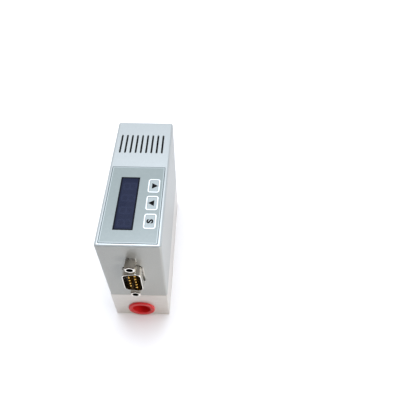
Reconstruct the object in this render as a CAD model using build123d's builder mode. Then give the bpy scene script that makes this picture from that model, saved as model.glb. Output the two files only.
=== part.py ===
"""Compact thermal mass flow controller: flow block, aluminium cover, display and keys.

Millimetres, +Z up, origin at the centre of the block's bottom face. The front, with the
signal connector, faces -Y, and gas flows from the front port to the rear port.
"""
from build123d import *
from math import radians, tan
import os

os.makedirs("parts", exist_ok=True)

# Driving sizes of the block and the cover
body_width = 30.0
body_length = 80.0
block_height = 24.5
wall = 1.2
cover_edge_radius = 1.2
cover_inner_radius = 0.6
edge_break = 0.3
land_height = 6.0
land_clearance = 0.1
land_chamfer = 0.5
cover_screw_inset = 7.0

# Mounting holes in the bottom face
mount_inset_x = 4.0
mount_inset_y = 10.0
mount_hole_radius = 1.25
mount_hole_depth = 6.0

# Gas ports and the plug in the front one
port_height = 8.0
port_radius = 5.9
port_depth = 12.0
port_chamfer = 0.7
plug_clearance = 0.1
plug_flange_radius = 7.2
plug_flange_thickness = 1.0
plug_length = 9.0
plug_taper = 0.45
plug_wall = 0.9
plug_edge_round = 0.35
plug_mouth_round = 0.6

# Bypass bore with its laminar flow element, screen and retaining ring
bypass_radius = 5.0
bypass_length = 26.0
element_clearance = 0.02
element_gap = 1.5
element_hole_radius = 1.2
element_hole_depth = 3.0
groove_count = 18
groove_width = 0.8
groove_depth = 1.3
screen_thickness = 0.5
screen_hole_radius = 0.45
screen_hole_pitch = 1.9
ring_thickness = 0.9
ring_width = 1.0
ring_gap = 3.0
seat_clearance = 0.05

# Flow sensor
sensor_leg_spacing = 16.0
leg_bore_radius = 1.0
capillary_radius = 0.4
capillary_bore = 0.25
capillary_clearance = 0.02
capillary_height = 12.5
capillary_bend = 2.5
heater_radius = 1.1
heater_length = 4.2
heater_gap = 1.2
sensor_width = 9.0
sensor_plate = 4.0
sensor_plate_corner = 1.5
sensor_cover_wall = 1.0
sensor_cover_height = 16.5
sensor_cover_round = 0.8
sensor_tip_clearance = 0.4
seal_wire_radius = 0.4
seal_mean_radius = 1.7
seal_side_gap = 0.05

# Screws
m2_radius = 1.0
m2_head_radius = 1.9
m2_head_height = 1.3
m2_length = 3.0
m25_radius = 1.25
m25_head_radius = 2.25
m25_head_height = 2.5
m25_length = 7.5
sunk_head_radius = 2.3
sunk_length = 6.0
thread_clearance = 0.05
hole_clearance = 0.15
hole_run_out = 1.0
screw_gap = 0.4
drive_width = 1.3
drive_depth = 0.7

# Control valve
valve_gap = 3.8
riser_radius = 1.2
outlet_bore_radius = 1.6
passage_wall = 1.2
passage_radius = 2.0
chamber_floor = 17.0
chamber_margin = 0.4
seat_radius = 2.4
seat_rise = 2.0
seat_depth = 3.0
seat_rim_radius = 1.2
seat_relief_radius = 1.3
orifice_radius = 0.5
valve_lift = 0.4
core_gap = 0.1
guide_share = 0.494
guide_wall = 0.5
armature_clearance = 0.08
armature_length = 26.0
flute_count = 3
flute_width = 1.2
flute_depth = 0.6
pad_radius = 1.8
pad_thickness = 1.5
pad_proud = 0.3
spring_pocket_radius = 2.3
spring_pocket_depth = 5.0
spring_wire_radius = 0.3
spring_mean_radius = 1.7
spring_turns = 5
spring_clearance = 0.03
valve_flange_margin = 0.8
valve_flange_length = 21.0
valve_flange_thickness = 3.0
valve_flange_corner = 2.0
valve_screw_x = 5.6
valve_screw_y = 8.0
valve_seal_gap = 0.9
valve_seal_wire = 0.7
coil_height = 21.0
coil_board_gap = 1.5
winding_margin = 0.1
bobbin_flange = 1.0
bobbin_wall = 0.6
yoke_thickness = 1.6
yoke_inset = 0.6
yoke_clearance = 0.3
stud_radius = 2.5
stud_length = 5.0
stud_slot_width = 0.8
nut_thickness = 2.7
nut_across_flats = 8.0

# Boards and brackets
board_thickness = 1.6
board_wall_gap = 1.3
board_joint_gap = 0.3
main_board_rear_gap = 4.3
main_board_clearance = 4.0
main_board_drop = 2.2
bracket_thickness = 1.2
bracket_length = 8.0
bracket_height = 11.5
bracket_screw_drop = 4.0
bracket_wall_gap = 0.2
bracket_end_gap = 0.5
bracket_head_gap = 0.2
header_size = 2.5
header_length = 20.0
header_overlap = 3.0
controller_size = 10.0
controller_thickness = 1.2
controller_shift = 1.0
amplifier_length = 5.0
amplifier_width = 4.0
amplifier_pitch = 5.0
amplifier_end_gap = 1.0
amplifier_rise = 1.5
capacitor_radius = 2.8
capacitor_length = 4.6
capacitor_gap = 1.4
capacitor_drop = 1.5
capacitor_pitch = 6.2
chip_drop = 6.0
chip_chamfer = 0.3

# Overlay, window, display and keys
overlay_side_gap = 1.65
overlay_rear_margin = 7.05
overlay_front_gap = 1.25
overlay_thickness = 0.4
overlay_recess = 0.3
overlay_fit = 0.1
overlay_corner = 0.5
window_width = 9.2
window_length = 31.2
window_shift = 0.5
window_front_gap = 8.4
window_fit = 0.05
window_drop = 0.1
module_margin = 1.2
module_height = 6.0
digit_count = 4
digit_pitch = 7.3
digit_length = 4.4
digit_height = 7.0
segment_width = 0.8
segment_gap = 0.15
segment_depth = 0.15
key_inset = 6.3
key_first_from_front = 13.45
key_pitch = 10.45
key_rim_width = 5.7
key_rim_length = 8.35
key_rim_corner = 1.2
key_rim_stroke = 0.6
key_rim_height = 0.12
key_hole_radius = 2.3
switch_size = 6.0
switch_height = 3.5
switch_cap = 0.5
switch_spare = 0.15
plunger_radius = 1.75
plunger_clearance = 0.05
collar_radius = 2.1
collar_height = 0.9
key_travel = 0.25
key_film_gap = 0.05
display_board_side_gap = 1.3
display_board_margin = 0.7
boss_radius = 2.2
boss_hole_depth = 3.2
boss_inset = 2.5
boss_gap = 0.2

# Vent slots
vent_count = 9
vent_side_gap = 4.0
vent_width = 1.0
vent_length_share = 0.4
vent_place_share = 0.493
vent_x = -0.4

# Nine-pin signal connector, after the common D-subminiature standard
connector_x = 0.1
connector_land_gap = 1.7
connector_top_gap = 1.2
shell_long = 16.92
shell_short = 8.36
shell_angle = 10.0
shell_corner = 2.4
shell_wall = 0.4
shell_rise = 6.0
connector_flange_end = 2.905
connector_flange_short = 12.5
connector_flange_thickness = 0.8
connector_flange_corner = 1.5
jack_shell_gap = 4.035
cutout_gap = 0.55
insulator_recess = 5.4
insulator_fit = 0.05
insulator_rear_margin = 0.65
insulator_rear_side = 1.1
insulator_rear_depth = 4.6
rear_shell_wall = 0.4
rear_shell_depth = 3.4
pin_pitch = 2.77
pin_row_pitch = 2.84
long_row_pins = 5
pin_radius = 0.5
pin_fit = 0.02
pin_reach = 5.0
pin_tip_round = 0.3
pin_tail_radius = 0.35
pin_tail_clearance = 0.1
pin_tail_length = 2.4
jack_across_flats = 4.76
jack_length = 4.2
jack_bore_radius = 1.13
jack_bore_depth = 4.0
jack_shank_radius = 1.4
jack_chamfer = 0.35
washer_radius = 2.75
washer_thickness = 0.65
jack_nut_across_flats = 5.5
jack_nut_thickness = 1.8
connector_board_overhang = 8.5
connector_board_inset = 2.3

# Places worked out from the sizes above
front_y = -body_length / 2
rear_y = body_length / 2
inner_front_y = front_y + wall
inner_half_width = body_width / 2 - wall
land_top = block_height + land_height

# The cover is as tall as the land, the connector, the display board and the display stacked
jack_spacing = shell_long + 2 * jack_shell_gap
connector_flange_long = jack_spacing + 2 * connector_flange_end
connector_z = land_top + connector_land_gap + connector_flange_long / 2
display_board_bottom = connector_z + connector_flange_long / 2 + connector_top_gap
display_board_top = display_board_bottom + board_thickness
cover_inner_top = display_board_top + module_height
cover_top = cover_inner_top + wall
cover_height = cover_top - block_height
land_width = body_width - 2 * (wall + land_clearance)
land_length = body_length - 2 * (wall + land_clearance)
cover_screw_x = body_width / 2 - cover_screw_inset
cover_screw_z = block_height + land_height / 2
mount_places = [(sx * (body_width / 2 - mount_inset_x), sy * (body_length / 2 - mount_inset_y))
                for sx in (-1, 1) for sy in (-1, 1)]

bypass_front_y = front_y + port_depth
bypass_end_y = bypass_front_y + bypass_length
sensor_y = bypass_front_y + bypass_length / 2
leg_places = [sensor_y + side * sensor_leg_spacing / 2 for side in (-1, 1)]
element_length = sensor_leg_spacing - 2 * (leg_bore_radius + element_gap)
sensor_cover_half = (sensor_leg_spacing / 2 + capillary_radius + sensor_tip_clearance
                     + sensor_cover_wall)
sensor_screw_offset = sensor_cover_half + m25_head_radius + screw_gap
sensor_screw_places = [sensor_y + side * sensor_screw_offset for side in (-1, 1)]
sensor_half_length = sensor_screw_offset + m25_head_radius + screw_gap
sensor_top = land_top + sensor_plate
capillary_top = sensor_top + capillary_height

valve_y = sensor_y + sensor_half_length + valve_gap + valve_flange_length / 2
riser_offset = outlet_bore_radius + passage_wall + riser_radius
riser_y = valve_y - riser_offset
chamber_radius = riser_offset + riser_radius + chamber_margin
valve_seal_radius = chamber_radius + valve_seal_gap + valve_seal_wire
valve_flange_width = 2 * (valve_seal_radius + valve_seal_wire + valve_flange_margin)
seat_top = chamber_floor + seat_rise
armature_bottom = seat_top + pad_proud
armature_top = armature_bottom + armature_length
core_bottom = armature_top + valve_lift + core_gap
main_board_x = -(inner_half_width - board_wall_gap - m2_head_height - board_thickness)
bobbin_flange_radius = -main_board_x - coil_board_gap
winding_radius = bobbin_flange_radius - winding_margin
guide_radius = bobbin_flange_radius * guide_share
guide_outer_radius = guide_radius + guide_wall
armature_radius = guide_radius - armature_clearance
yoke_width = 2 * (bobbin_flange_radius - yoke_inset)
yoke_bottom = land_top + valve_flange_thickness
coil_bottom = yoke_bottom + yoke_thickness
coil_top = coil_bottom + coil_height
yoke_top = coil_top + yoke_thickness
yoke_half_length = bobbin_flange_radius + yoke_clearance + yoke_thickness
spring_floor = armature_top - spring_pocket_depth
valve_screw_places = [(sx * valve_screw_x, valve_y + sy * valve_screw_y)
                      for sx in (-1, 1) for sy in (-1, 1)]

overlay_width = body_width - 2 * overlay_side_gap
overlay_length = window_front_gap - overlay_front_gap + window_length + overlay_rear_margin
overlay_y = front_y + overlay_front_gap + overlay_length / 2
overlay_rear_y = overlay_y + overlay_length / 2
overlay_bottom = cover_top - overlay_recess
overlay_top = overlay_bottom + overlay_thickness
key_x = body_width / 2 - key_inset
window_x = (key_x - key_rim_width / 2 - overlay_width / 2) / 2 + window_shift
window_y = front_y + window_front_gap + window_length / 2
key_names = ["set", "up", "down"]
key_places = [front_y + key_first_from_front + i * key_pitch for i in range(len(key_names))]
module_width = window_width + 2 * module_margin
module_length = window_length + 2 * module_margin
# The bosses stand clear of the module, and the rear ones of the last key's switch too
boss_front_y = window_y - module_length / 2 - boss_gap - boss_radius
boss_rear_y = (max(window_y + module_length / 2, key_places[-1] + switch_size / 2)
               + boss_gap + boss_radius)
display_board_width = 2 * (inner_half_width - display_board_side_gap)
display_board_length = (boss_rear_y - boss_front_y
                        + 2 * (boss_radius + display_board_margin))
display_board_y = (boss_front_y + boss_rear_y) / 2
boss_x = display_board_width / 2 - boss_inset
display_screw_places = [(sx * boss_x, boss_y)
                        for sx in (-1, 1) for boss_y in (boss_front_y, boss_rear_y)]
switch_top = display_board_top + switch_height
collar_top = switch_top - switch_cap
plunger_top = overlay_bottom - key_film_gap
vent_room = rear_y - overlay_rear_y
vent_y = overlay_rear_y + vent_room * vent_place_share
vent_length = vent_room * vent_length_share
vent_pitch = (body_width - 2 * vent_side_gap) / (vent_count - 1)

connector_flange_rear_y = inner_front_y + connector_flange_thickness
shell_front_y = inner_front_y - shell_rise
insulator_front_y = shell_front_y + insulator_recess
insulator_rear_y = connector_flange_rear_y + insulator_rear_depth
jack_places = [connector_z + side * jack_spacing / 2 for side in (-1, 1)]
jack_front_y = front_y - washer_thickness - jack_length
rear_flange_y = connector_flange_rear_y + rear_shell_wall
pin_places = [(row * pin_row_pitch / 2, (i - (pins - 1) / 2) * pin_pitch)
              for row, pins in ((1, long_row_pins), (-1, long_row_pins - 1))
              for i in range(pins)]

insulator_rear_long = shell_long + 2 * insulator_rear_margin
insulator_rear_short = shell_short + 2 * insulator_rear_side
connector_board_length = connector_flange_long - 2 * connector_board_inset
connector_board_rear_y = insulator_rear_y + board_thickness
main_board_bottom = land_top + main_board_clearance
main_board_top = display_board_bottom - main_board_drop
main_board_height = main_board_top - main_board_bottom
main_board_front_y = connector_board_rear_y + board_joint_gap
main_board_rear_y = rear_y - wall - main_board_rear_gap
main_board_length = main_board_rear_y - main_board_front_y
main_board_y = (main_board_front_y + main_board_rear_y) / 2
bracket_places = [sensor_y, main_board_rear_y - bracket_end_gap - bracket_length / 2]
bracket_foot_x = -(inner_half_width - bracket_wall_gap)
bracket_inner_x = main_board_x + bracket_thickness
bracket_screw_x = main_board_x - bracket_head_gap - m2_head_radius
bracket_screw_z = land_top + bracket_height - bracket_screw_drop


def write(part, name):
    """Label a finished piece and write it to its own file."""
    part.label = name
    export_step(part, f"parts/{name}.step")


def facing_front(y):
    """Plane at this Y that looks out of the front, with X to the right and Z up."""
    return Plane.XZ.offset(-y)


def d_outline(grow):
    """D outline of the nine-pin shell, long side to +X, with its wall moved out by grow."""
    half_short = shell_short / 2 + grow
    tall = shell_long / 2 + grow
    low = tall - 2 * half_short * tan(radians(shell_angle))
    with BuildSketch() as outline:
        with BuildLine():
            Polyline((half_short, tall), (half_short, -tall), (-half_short, -low),
                     (-half_short, low), close=True)
        make_face()
        fillet(outline.vertices(), shell_corner + grow)
    return outline.sketch


def pan_screw(radius, head_radius, head_height, length):
    """Screw standing on its head's seat at the origin, shank down, with a hexagon socket."""
    with BuildPart() as screw:
        Cylinder(head_radius, head_height, align=(Align.CENTER, Align.CENTER, Align.MIN))
        chamfer(screw.edges().sort_by(Axis.Z)[-1], head_height / 5)
        Cylinder(radius - thread_clearance, length, align=(Align.CENTER, Align.CENTER, Align.MAX))
        with BuildSketch(Plane.XY.offset(head_height)):
            RegularPolygon(drive_width / 2, 6, major_radius=False)
        extrude(amount=-drive_depth, mode=Mode.SUBTRACT)
    return screw.part


def sunk_screw(radius, head_radius, length):
    """Countersunk screw with its head's top at the origin, shank down, 90 degree head."""
    cone = head_radius - radius + thread_clearance
    with BuildPart() as screw:
        Cylinder(radius - thread_clearance, length, align=(Align.CENTER, Align.CENTER, Align.MAX))
        Cone(radius - thread_clearance, head_radius, cone,
             align=(Align.CENTER, Align.CENTER, Align.MAX))
        with BuildSketch():
            RegularPolygon(drive_width / 2, 6, major_radius=False)
        extrude(amount=-drive_depth, mode=Mode.SUBTRACT)
    return screw.part


# Flow block: ports, bypass bore, valve passages, land for the cover and tapped holes
with BuildPart() as flow_block:
    with BuildSketch():
        Rectangle(body_width, body_length)
    extrude(amount=block_height)
    chamfer(flow_block.edges(), edge_break)
    with BuildSketch(Plane.XY.offset(block_height)):
        RectangleRounded(land_width, land_length, cover_inner_radius)
    extrude(amount=land_height)
    chamfer(flow_block.faces().sort_by(Axis.Z)[-1].edges(), land_chamfer)
    for end_y, inward in ((front_y, -1), (rear_y, 1)):
        with BuildSketch(facing_front(end_y)):
            with Locations((0, port_height)):
                Circle(port_radius)
        extrude(amount=inward * port_depth, mode=Mode.SUBTRACT)
        mouth = flow_block.edges().filter_by(GeomType.CIRCLE).filter_by(
            lambda edge: abs(edge.radius - port_radius) < 0.01).sort_by(Axis.Y)
        chamfer(mouth[0] if inward < 0 else mouth[-1], port_chamfer)
    # Bores along the flow, each from the bottom of the one before it
    for start_y, end_y, radius in ((bypass_front_y, bypass_end_y, bypass_radius),
                                   (bypass_end_y, riser_y + riser_radius, passage_radius),
                                   (valve_y, rear_y, outlet_bore_radius)):
        with BuildSketch(facing_front(start_y)):
            with Locations((0, port_height)):
                Circle(radius)
        extrude(amount=start_y - end_y, mode=Mode.SUBTRACT)
    # Upright bores from the flow line to the sensor's legs and into the valve chamber
    for bore_y, top_z, radius in ((leg_places[0], land_top, leg_bore_radius),
                                  (leg_places[1], land_top, leg_bore_radius),
                                  (riser_y, chamber_floor, riser_radius),
                                  (valve_y, chamber_floor, outlet_bore_radius)):
        with BuildSketch(Plane.XY.offset(port_height)):
            with Locations((0, bore_y)):
                Circle(radius)
        extrude(amount=top_z - port_height, mode=Mode.SUBTRACT)
    with BuildSketch(Plane.XY.offset(chamber_floor)):
        with Locations((0, valve_y)):
            Circle(chamber_radius)
    extrude(amount=land_top - chamber_floor, mode=Mode.SUBTRACT)
    with BuildSketch(Plane.XY.offset(chamber_floor)):
        with Locations((0, valve_y)):
            Circle(seat_radius)
    extrude(amount=-seat_depth, mode=Mode.SUBTRACT)
    # Seal grooves in the land
    with BuildSketch(Plane.XY.offset(land_top)):
        with Locations(*[(0, leg_y) for leg_y in leg_places]):
            Circle(seal_mean_radius + seal_wire_radius + seal_side_gap)
    extrude(amount=-2 * seal_wire_radius, mode=Mode.SUBTRACT)
    with BuildSketch(Plane.XY.offset(land_top)):
        with Locations((0, valve_y)):
            Circle(valve_seal_radius + valve_seal_wire + seal_side_gap)
            Circle(valve_seal_radius - valve_seal_wire - seal_side_gap, mode=Mode.SUBTRACT)
    extrude(amount=-2 * valve_seal_wire, mode=Mode.SUBTRACT)
    # Tapped holes in the land, one depth for each kind of screw
    land_holes = (
        ([(0, y) for y in sensor_screw_places], m25_radius, m25_length - sensor_plate),
        (valve_screw_places, m25_radius, sunk_length - valve_flange_thickness),
        ([(bracket_screw_x, y) for y in bracket_places], m2_radius,
         m2_length - bracket_thickness))
    for places, radius, reach in land_holes:
        with BuildSketch(Plane.XY.offset(land_top)):
            with Locations(*places):
                Circle(radius)
        extrude(amount=-(reach + hole_run_out), mode=Mode.SUBTRACT)
    with BuildSketch():
        with Locations(*mount_places):
            Circle(mount_hole_radius)
    extrude(amount=mount_hole_depth, mode=Mode.SUBTRACT)
    with BuildSketch(facing_front(land_length / 2)):
        with Locations((-cover_screw_x, cover_screw_z), (cover_screw_x, cover_screw_z)):
            Circle(m25_radius)
    extrude(amount=sunk_length - wall + hole_run_out, mode=Mode.SUBTRACT)

# Cover: one drawn aluminium can, open below, with its cut-outs and four bosses under the top
with BuildPart() as cover:
    with BuildSketch(Plane.XY.offset(block_height)):
        Rectangle(body_width, body_length)
    extrude(amount=cover_height)
    round_edges = cover.edges().filter_by(Axis.Z) + cover.faces().sort_by(Axis.Z)[-1].edges()
    fillet(round_edges, cover_edge_radius)
    with BuildSketch(Plane.XY.offset(block_height)):
        RectangleRounded(body_width - 2 * wall, body_length - 2 * wall, cover_inner_radius)
    extrude(amount=cover_height - wall, mode=Mode.SUBTRACT)
    with BuildSketch(Plane.XY.offset(cover_top)):
        with Locations((0, overlay_y)):
            RectangleRounded(overlay_width + 2 * overlay_fit, overlay_length + 2 * overlay_fit,
                             overlay_corner + overlay_fit)
    extrude(amount=-overlay_recess, mode=Mode.SUBTRACT)
    with BuildSketch(Plane.XY.offset(cover_inner_top)):
        with Locations((window_x, window_y)):
            Rectangle(window_width + 2 * window_fit, window_length + 2 * window_fit)
        with Locations(*[(key_x, key_y) for key_y in key_places]):
            Circle(key_hole_radius)
        with Locations((vent_x, vent_y)):
            with GridLocations(vent_pitch, 0, vent_count, 1):
                SlotOverall(vent_length, vent_width, rotation=90)
    extrude(amount=wall, mode=Mode.SUBTRACT)
    with BuildSketch(facing_front(front_y)):
        with Locations((connector_x, connector_z)):
            add(d_outline(shell_wall + cutout_gap))
        with Locations(*[(connector_x, jack_z) for jack_z in jack_places]):
            Circle(jack_shank_radius + hole_clearance)
    extrude(amount=-wall, mode=Mode.SUBTRACT)
    with BuildSketch(Plane.XY.offset(display_board_top)):
        with Locations(*display_screw_places):
            Circle(boss_radius)
    extrude(amount=module_height)
    with BuildSketch(Plane.XY.offset(display_board_top)):
        with Locations(*display_screw_places):
            Circle(m2_radius)
    extrude(amount=boss_hole_depth, mode=Mode.SUBTRACT)
    rear_face = Plane(origin=(0, rear_y, cover_screw_z), x_dir=(-1, 0, 0), z_dir=(0, 1, 0))
    with Locations(rear_face):
        with Locations((-cover_screw_x, 0), (cover_screw_x, 0)):
            CounterSinkHole(m25_radius + hole_clearance, sunk_head_radius, wall * 2,
                            counter_sink_angle=90)

# Cover screws, two, countersunk flush in the rear wall
with BuildPart() as cover_screws:
    for side in (-1, 1):
        screw_seat = Plane(origin=(side * cover_screw_x, rear_y, cover_screw_z),
                           z_dir=(0, 1, 0))
        add(screw_seat * sunk_screw(m25_radius, sunk_head_radius, sunk_length))

# Overlay: printed film in the recess, with a window and an embossed rim round each key
with BuildPart() as keypad_overlay:
    with BuildSketch(Plane.XY.offset(overlay_bottom)):
        with Locations((0, overlay_y)):
            RectangleRounded(overlay_width, overlay_length, overlay_corner)
        with Locations((window_x, window_y)):
            Rectangle(window_width + 2 * window_fit, window_length + 2 * window_fit,
                      mode=Mode.SUBTRACT)
    extrude(amount=overlay_thickness)
    with BuildSketch(Plane.XY.offset(overlay_top)):
        with Locations(*[(key_x, key_y) for key_y in key_places]):
            RectangleRounded(key_rim_width, key_rim_length, key_rim_corner)
            RectangleRounded(key_rim_width - 2 * key_rim_stroke,
                             key_rim_length - 2 * key_rim_stroke,
                             key_rim_corner - key_rim_stroke, mode=Mode.SUBTRACT)
    extrude(amount=key_rim_height)

# Window pane: smoked, standing on the display module and flush under the film's top
with BuildPart() as display_window:
    with BuildSketch(Plane.XY.offset(cover_inner_top)):
        with Locations((window_x, window_y)):
            Rectangle(window_width, window_length)
    extrude(amount=overlay_top - window_drop - cover_inner_top)

# Display module: moulded block with seven-segment digits that read from front to rear
with BuildPart() as display_module:
    with BuildSketch(Plane.XY.offset(display_board_top)):
        with Locations((window_x, window_y)):
            Rectangle(module_width, module_length)
    extrude(amount=module_height)
    upright_length = (digit_height - segment_width) / 2 - segment_gap
    bar_length = digit_length - segment_width - segment_gap
    with BuildSketch(Plane.XY.offset(cover_inner_top)):
        with Locations((window_x, window_y)):
            with GridLocations(0, digit_pitch, 1, digit_count):
                with GridLocations((digit_height - segment_width) / 2, 0, 3, 1):
                    Rectangle(segment_width, bar_length)
                with GridLocations((digit_height - segment_width) / 2,
                                   digit_length - segment_width, 2, 2):
                    Rectangle(upright_length - segment_width / 2, segment_width)
    extrude(amount=-segment_depth, mode=Mode.SUBTRACT)

# Display board with its four screws up into the cover's bosses
with BuildPart() as display_board:
    with BuildSketch(Plane.XY.offset(display_board_bottom)):
        with Locations((0, display_board_y)):
            Rectangle(display_board_width, display_board_length)
        with Locations(*display_screw_places):
            Circle(m2_radius + hole_clearance, mode=Mode.SUBTRACT)
    extrude(amount=board_thickness)

with BuildPart() as display_screws:
    for place_x, place_y in display_screw_places:
        seat = Plane(origin=(place_x, place_y, display_board_bottom), z_dir=(0, 0, -1))
        add(seat * pan_screw(m2_radius, m2_head_radius, m2_head_height, m2_length))

# Key switches: a square body with a stepped well, and a plunger whose collar sits under its cap
well_depth = collar_height + key_travel + switch_spare
for key_name, key_y in zip(key_names, key_places):
    with BuildPart() as switch_body:
        with BuildSketch(Plane.XY.offset(display_board_top)):
            with Locations((key_x, key_y)):
                Rectangle(switch_size, switch_size)
        extrude(amount=switch_height)
        chamfer(switch_body.edges().filter_by(Axis.Z), edge_break)
        with BuildSketch(Plane.XY.offset(collar_top)):
            with Locations((key_x, key_y)):
                Circle(collar_radius + plunger_clearance)
        extrude(amount=-well_depth, mode=Mode.SUBTRACT)
        with BuildSketch(Plane.XY.offset(collar_top)):
            with Locations((key_x, key_y)):
                Circle(plunger_radius + plunger_clearance)
        extrude(amount=switch_cap, mode=Mode.SUBTRACT)
    write(switch_body.part, f"{key_name}_switch_body")

    with BuildPart() as plunger:
        with BuildSketch(Plane.XY.offset(collar_top - collar_height)):
            with Locations((key_x, key_y)):
                Circle(collar_radius)
        extrude(amount=collar_height)
        with BuildSketch(Plane.XY.offset(collar_top)):
            with Locations((key_x, key_y)):
                Circle(plunger_radius)
        extrude(amount=plunger_top - collar_top)
        chamfer(plunger.edges().sort_by(Axis.Z)[-1], edge_break)
    write(plunger.part, f"{key_name}_key_plunger")

# Connector shell: flange behind the front wall and a D tube out through it
with BuildPart() as connector_shell:
    with BuildSketch(facing_front(inner_front_y)):
        with Locations((connector_x, connector_z)):
            RectangleRounded(connector_flange_short, connector_flange_long,
                             connector_flange_corner)
    extrude(amount=-connector_flange_thickness)
    with BuildSketch(facing_front(connector_flange_rear_y)):
        with Locations((connector_x, connector_z)):
            add(d_outline(shell_wall))
    extrude(amount=connector_flange_rear_y - shell_front_y)
    with BuildSketch(facing_front(connector_flange_rear_y)):
        with Locations((connector_x, connector_z)):
            add(d_outline(0))
        with Locations(*[(connector_x, jack_z) for jack_z in jack_places]):
            Circle(jack_shank_radius + hole_clearance)
    extrude(amount=connector_flange_rear_y - shell_front_y, mode=Mode.SUBTRACT)
    rim = connector_shell.faces().sort_by(Axis.Y)[0].outer_wire().edges()
    fillet(rim, shell_wall / 2)

# Insulator: fills the back of the D tube and the rear shell, bored for the pins
with BuildPart() as connector_insulator:
    with BuildSketch(facing_front(connector_flange_rear_y)):
        with Locations((connector_x, connector_z)):
            add(d_outline(-insulator_fit))
    extrude(amount=connector_flange_rear_y - insulator_front_y)
    with BuildSketch(facing_front(connector_flange_rear_y)):
        with Locations((connector_x, connector_z)):
            Rectangle(insulator_rear_short, insulator_rear_long)
    extrude(amount=-insulator_rear_depth)
    with BuildSketch(facing_front(insulator_front_y)):
        with Locations((connector_x, connector_z)):
            with Locations(*pin_places):
                Circle(pin_radius + pin_fit)
    extrude(amount=insulator_front_y - insulator_rear_y, mode=Mode.SUBTRACT)

# Rear shell: tray round the insulator's rear body, clamped on the front flange
with BuildPart() as connector_rear_shell:
    with BuildSketch(facing_front(connector_flange_rear_y)):
        with Locations((connector_x, connector_z)):
            RectangleRounded(connector_flange_short, connector_flange_long,
                             connector_flange_corner)
        with Locations(*[(connector_x, jack_z) for jack_z in jack_places]):
            Circle(jack_shank_radius + hole_clearance, mode=Mode.SUBTRACT)
    extrude(amount=-rear_shell_wall)
    with BuildSketch(facing_front(connector_flange_rear_y)):
        with Locations((connector_x, connector_z)):
            Rectangle(insulator_rear_short + 2 * (insulator_fit + rear_shell_wall),
                      insulator_rear_long + 2 * (insulator_fit + rear_shell_wall))
    extrude(amount=-rear_shell_depth)
    with BuildSketch(facing_front(connector_flange_rear_y)):
        with Locations((connector_x, connector_z)):
            Rectangle(insulator_rear_short + 2 * insulator_fit,
                      insulator_rear_long + 2 * insulator_fit)
    extrude(amount=-rear_shell_depth, mode=Mode.SUBTRACT)

# Pins: nine contacts with rounded tips and thin tails through the connector board
with BuildPart() as connector_pins:
    with BuildSketch(facing_front(insulator_rear_y)):
        with Locations((connector_x, connector_z)):
            with Locations(*pin_places):
                Circle(pin_radius)
    extrude(amount=insulator_rear_y - insulator_front_y + pin_reach)
    tips = connector_pins.edges().filter_by(GeomType.CIRCLE).group_by(Axis.Y)[0]
    fillet(tips, pin_tip_round)
    with BuildSketch(facing_front(insulator_rear_y)):
        with Locations((connector_x, connector_z)):
            with Locations(*pin_places):
                Circle(pin_tail_radius)
    extrude(amount=-pin_tail_length)

# Jackscrews: hexagon posts, point up, tapped for the plug's screws, each with a long shank
with BuildPart() as jackscrews:
    with BuildSketch(facing_front(jack_front_y)):
        with Locations(*[(connector_x, jack_z) for jack_z in jack_places]):
            RegularPolygon(jack_across_flats / 2, 6, major_radius=False, rotation=30)
    extrude(amount=-jack_length)
    post_tips = jackscrews.faces().group_by(Axis.Y)[0].edges()
    chamfer(post_tips, jack_chamfer)
    shank_reach = (washer_thickness + wall + connector_flange_thickness + rear_shell_wall
                   + jack_nut_thickness)
    with BuildSketch(facing_front(jack_front_y + jack_length)):
        with Locations(*[(connector_x, jack_z) for jack_z in jack_places]):
            Circle(jack_shank_radius)
    extrude(amount=-shank_reach)
    with BuildSketch(facing_front(jack_front_y)):
        with Locations(*[(connector_x, jack_z) for jack_z in jack_places]):
            Circle(jack_bore_radius)
    extrude(amount=-jack_bore_depth, mode=Mode.SUBTRACT)

with BuildPart() as jackscrew_washers:
    with BuildSketch(facing_front(front_y)):
        with Locations(*[(connector_x, jack_z) for jack_z in jack_places]):
            Circle(washer_radius)
            Circle(jack_shank_radius + thread_clearance, mode=Mode.SUBTRACT)
    extrude(amount=washer_thickness)

with BuildPart() as jackscrew_nuts:
    with BuildSketch(facing_front(rear_flange_y)):
        with Locations(*[(connector_x, jack_z) for jack_z in jack_places]):
            RegularPolygon(jack_nut_across_flats / 2, 6, major_radius=False)
            Circle(jack_shank_radius + thread_clearance, mode=Mode.SUBTRACT)
    extrude(amount=-jack_nut_thickness)

# Connector board: upright behind the connector, soldered on the pins' tails
with BuildPart() as connector_board:
    board_left = main_board_x - board_thickness
    board_right = connector_x + connector_board_overhang
    with BuildSketch(facing_front(insulator_rear_y)):
        with Locations(((board_left + board_right) / 2, connector_z)):
            Rectangle(board_right - board_left, connector_board_length)
        with Locations((connector_x, connector_z)):
            with Locations(*pin_places):
                Circle(pin_tail_radius + pin_tail_clearance, mode=Mode.SUBTRACT)
    extrude(amount=-board_thickness)

# Main board: upright along the left wall, screwed to two brackets
with BuildPart() as main_board:
    with BuildSketch(Plane.YZ.offset(main_board_x - board_thickness)):
        with Locations((main_board_y, (main_board_bottom + main_board_top) / 2)):
            Rectangle(main_board_length, main_board_height)
        with Locations(*[(y, bracket_screw_z) for y in bracket_places]):
            Circle(m2_radius + hole_clearance, mode=Mode.SUBTRACT)
    extrude(amount=board_thickness)

# Board-to-board headers
with BuildPart() as connector_header:
    with BuildSketch(Plane.XY.offset(connector_z - header_length / 2)):
        with Locations((main_board_x, connector_board_rear_y)):
            Rectangle(header_size, header_size, align=(Align.MIN, Align.MIN))
    extrude(amount=header_length)
    chamfer(connector_header.edges().filter_by(Axis.Z).sort_by(Axis.Y)[-1], edge_break)

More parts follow.
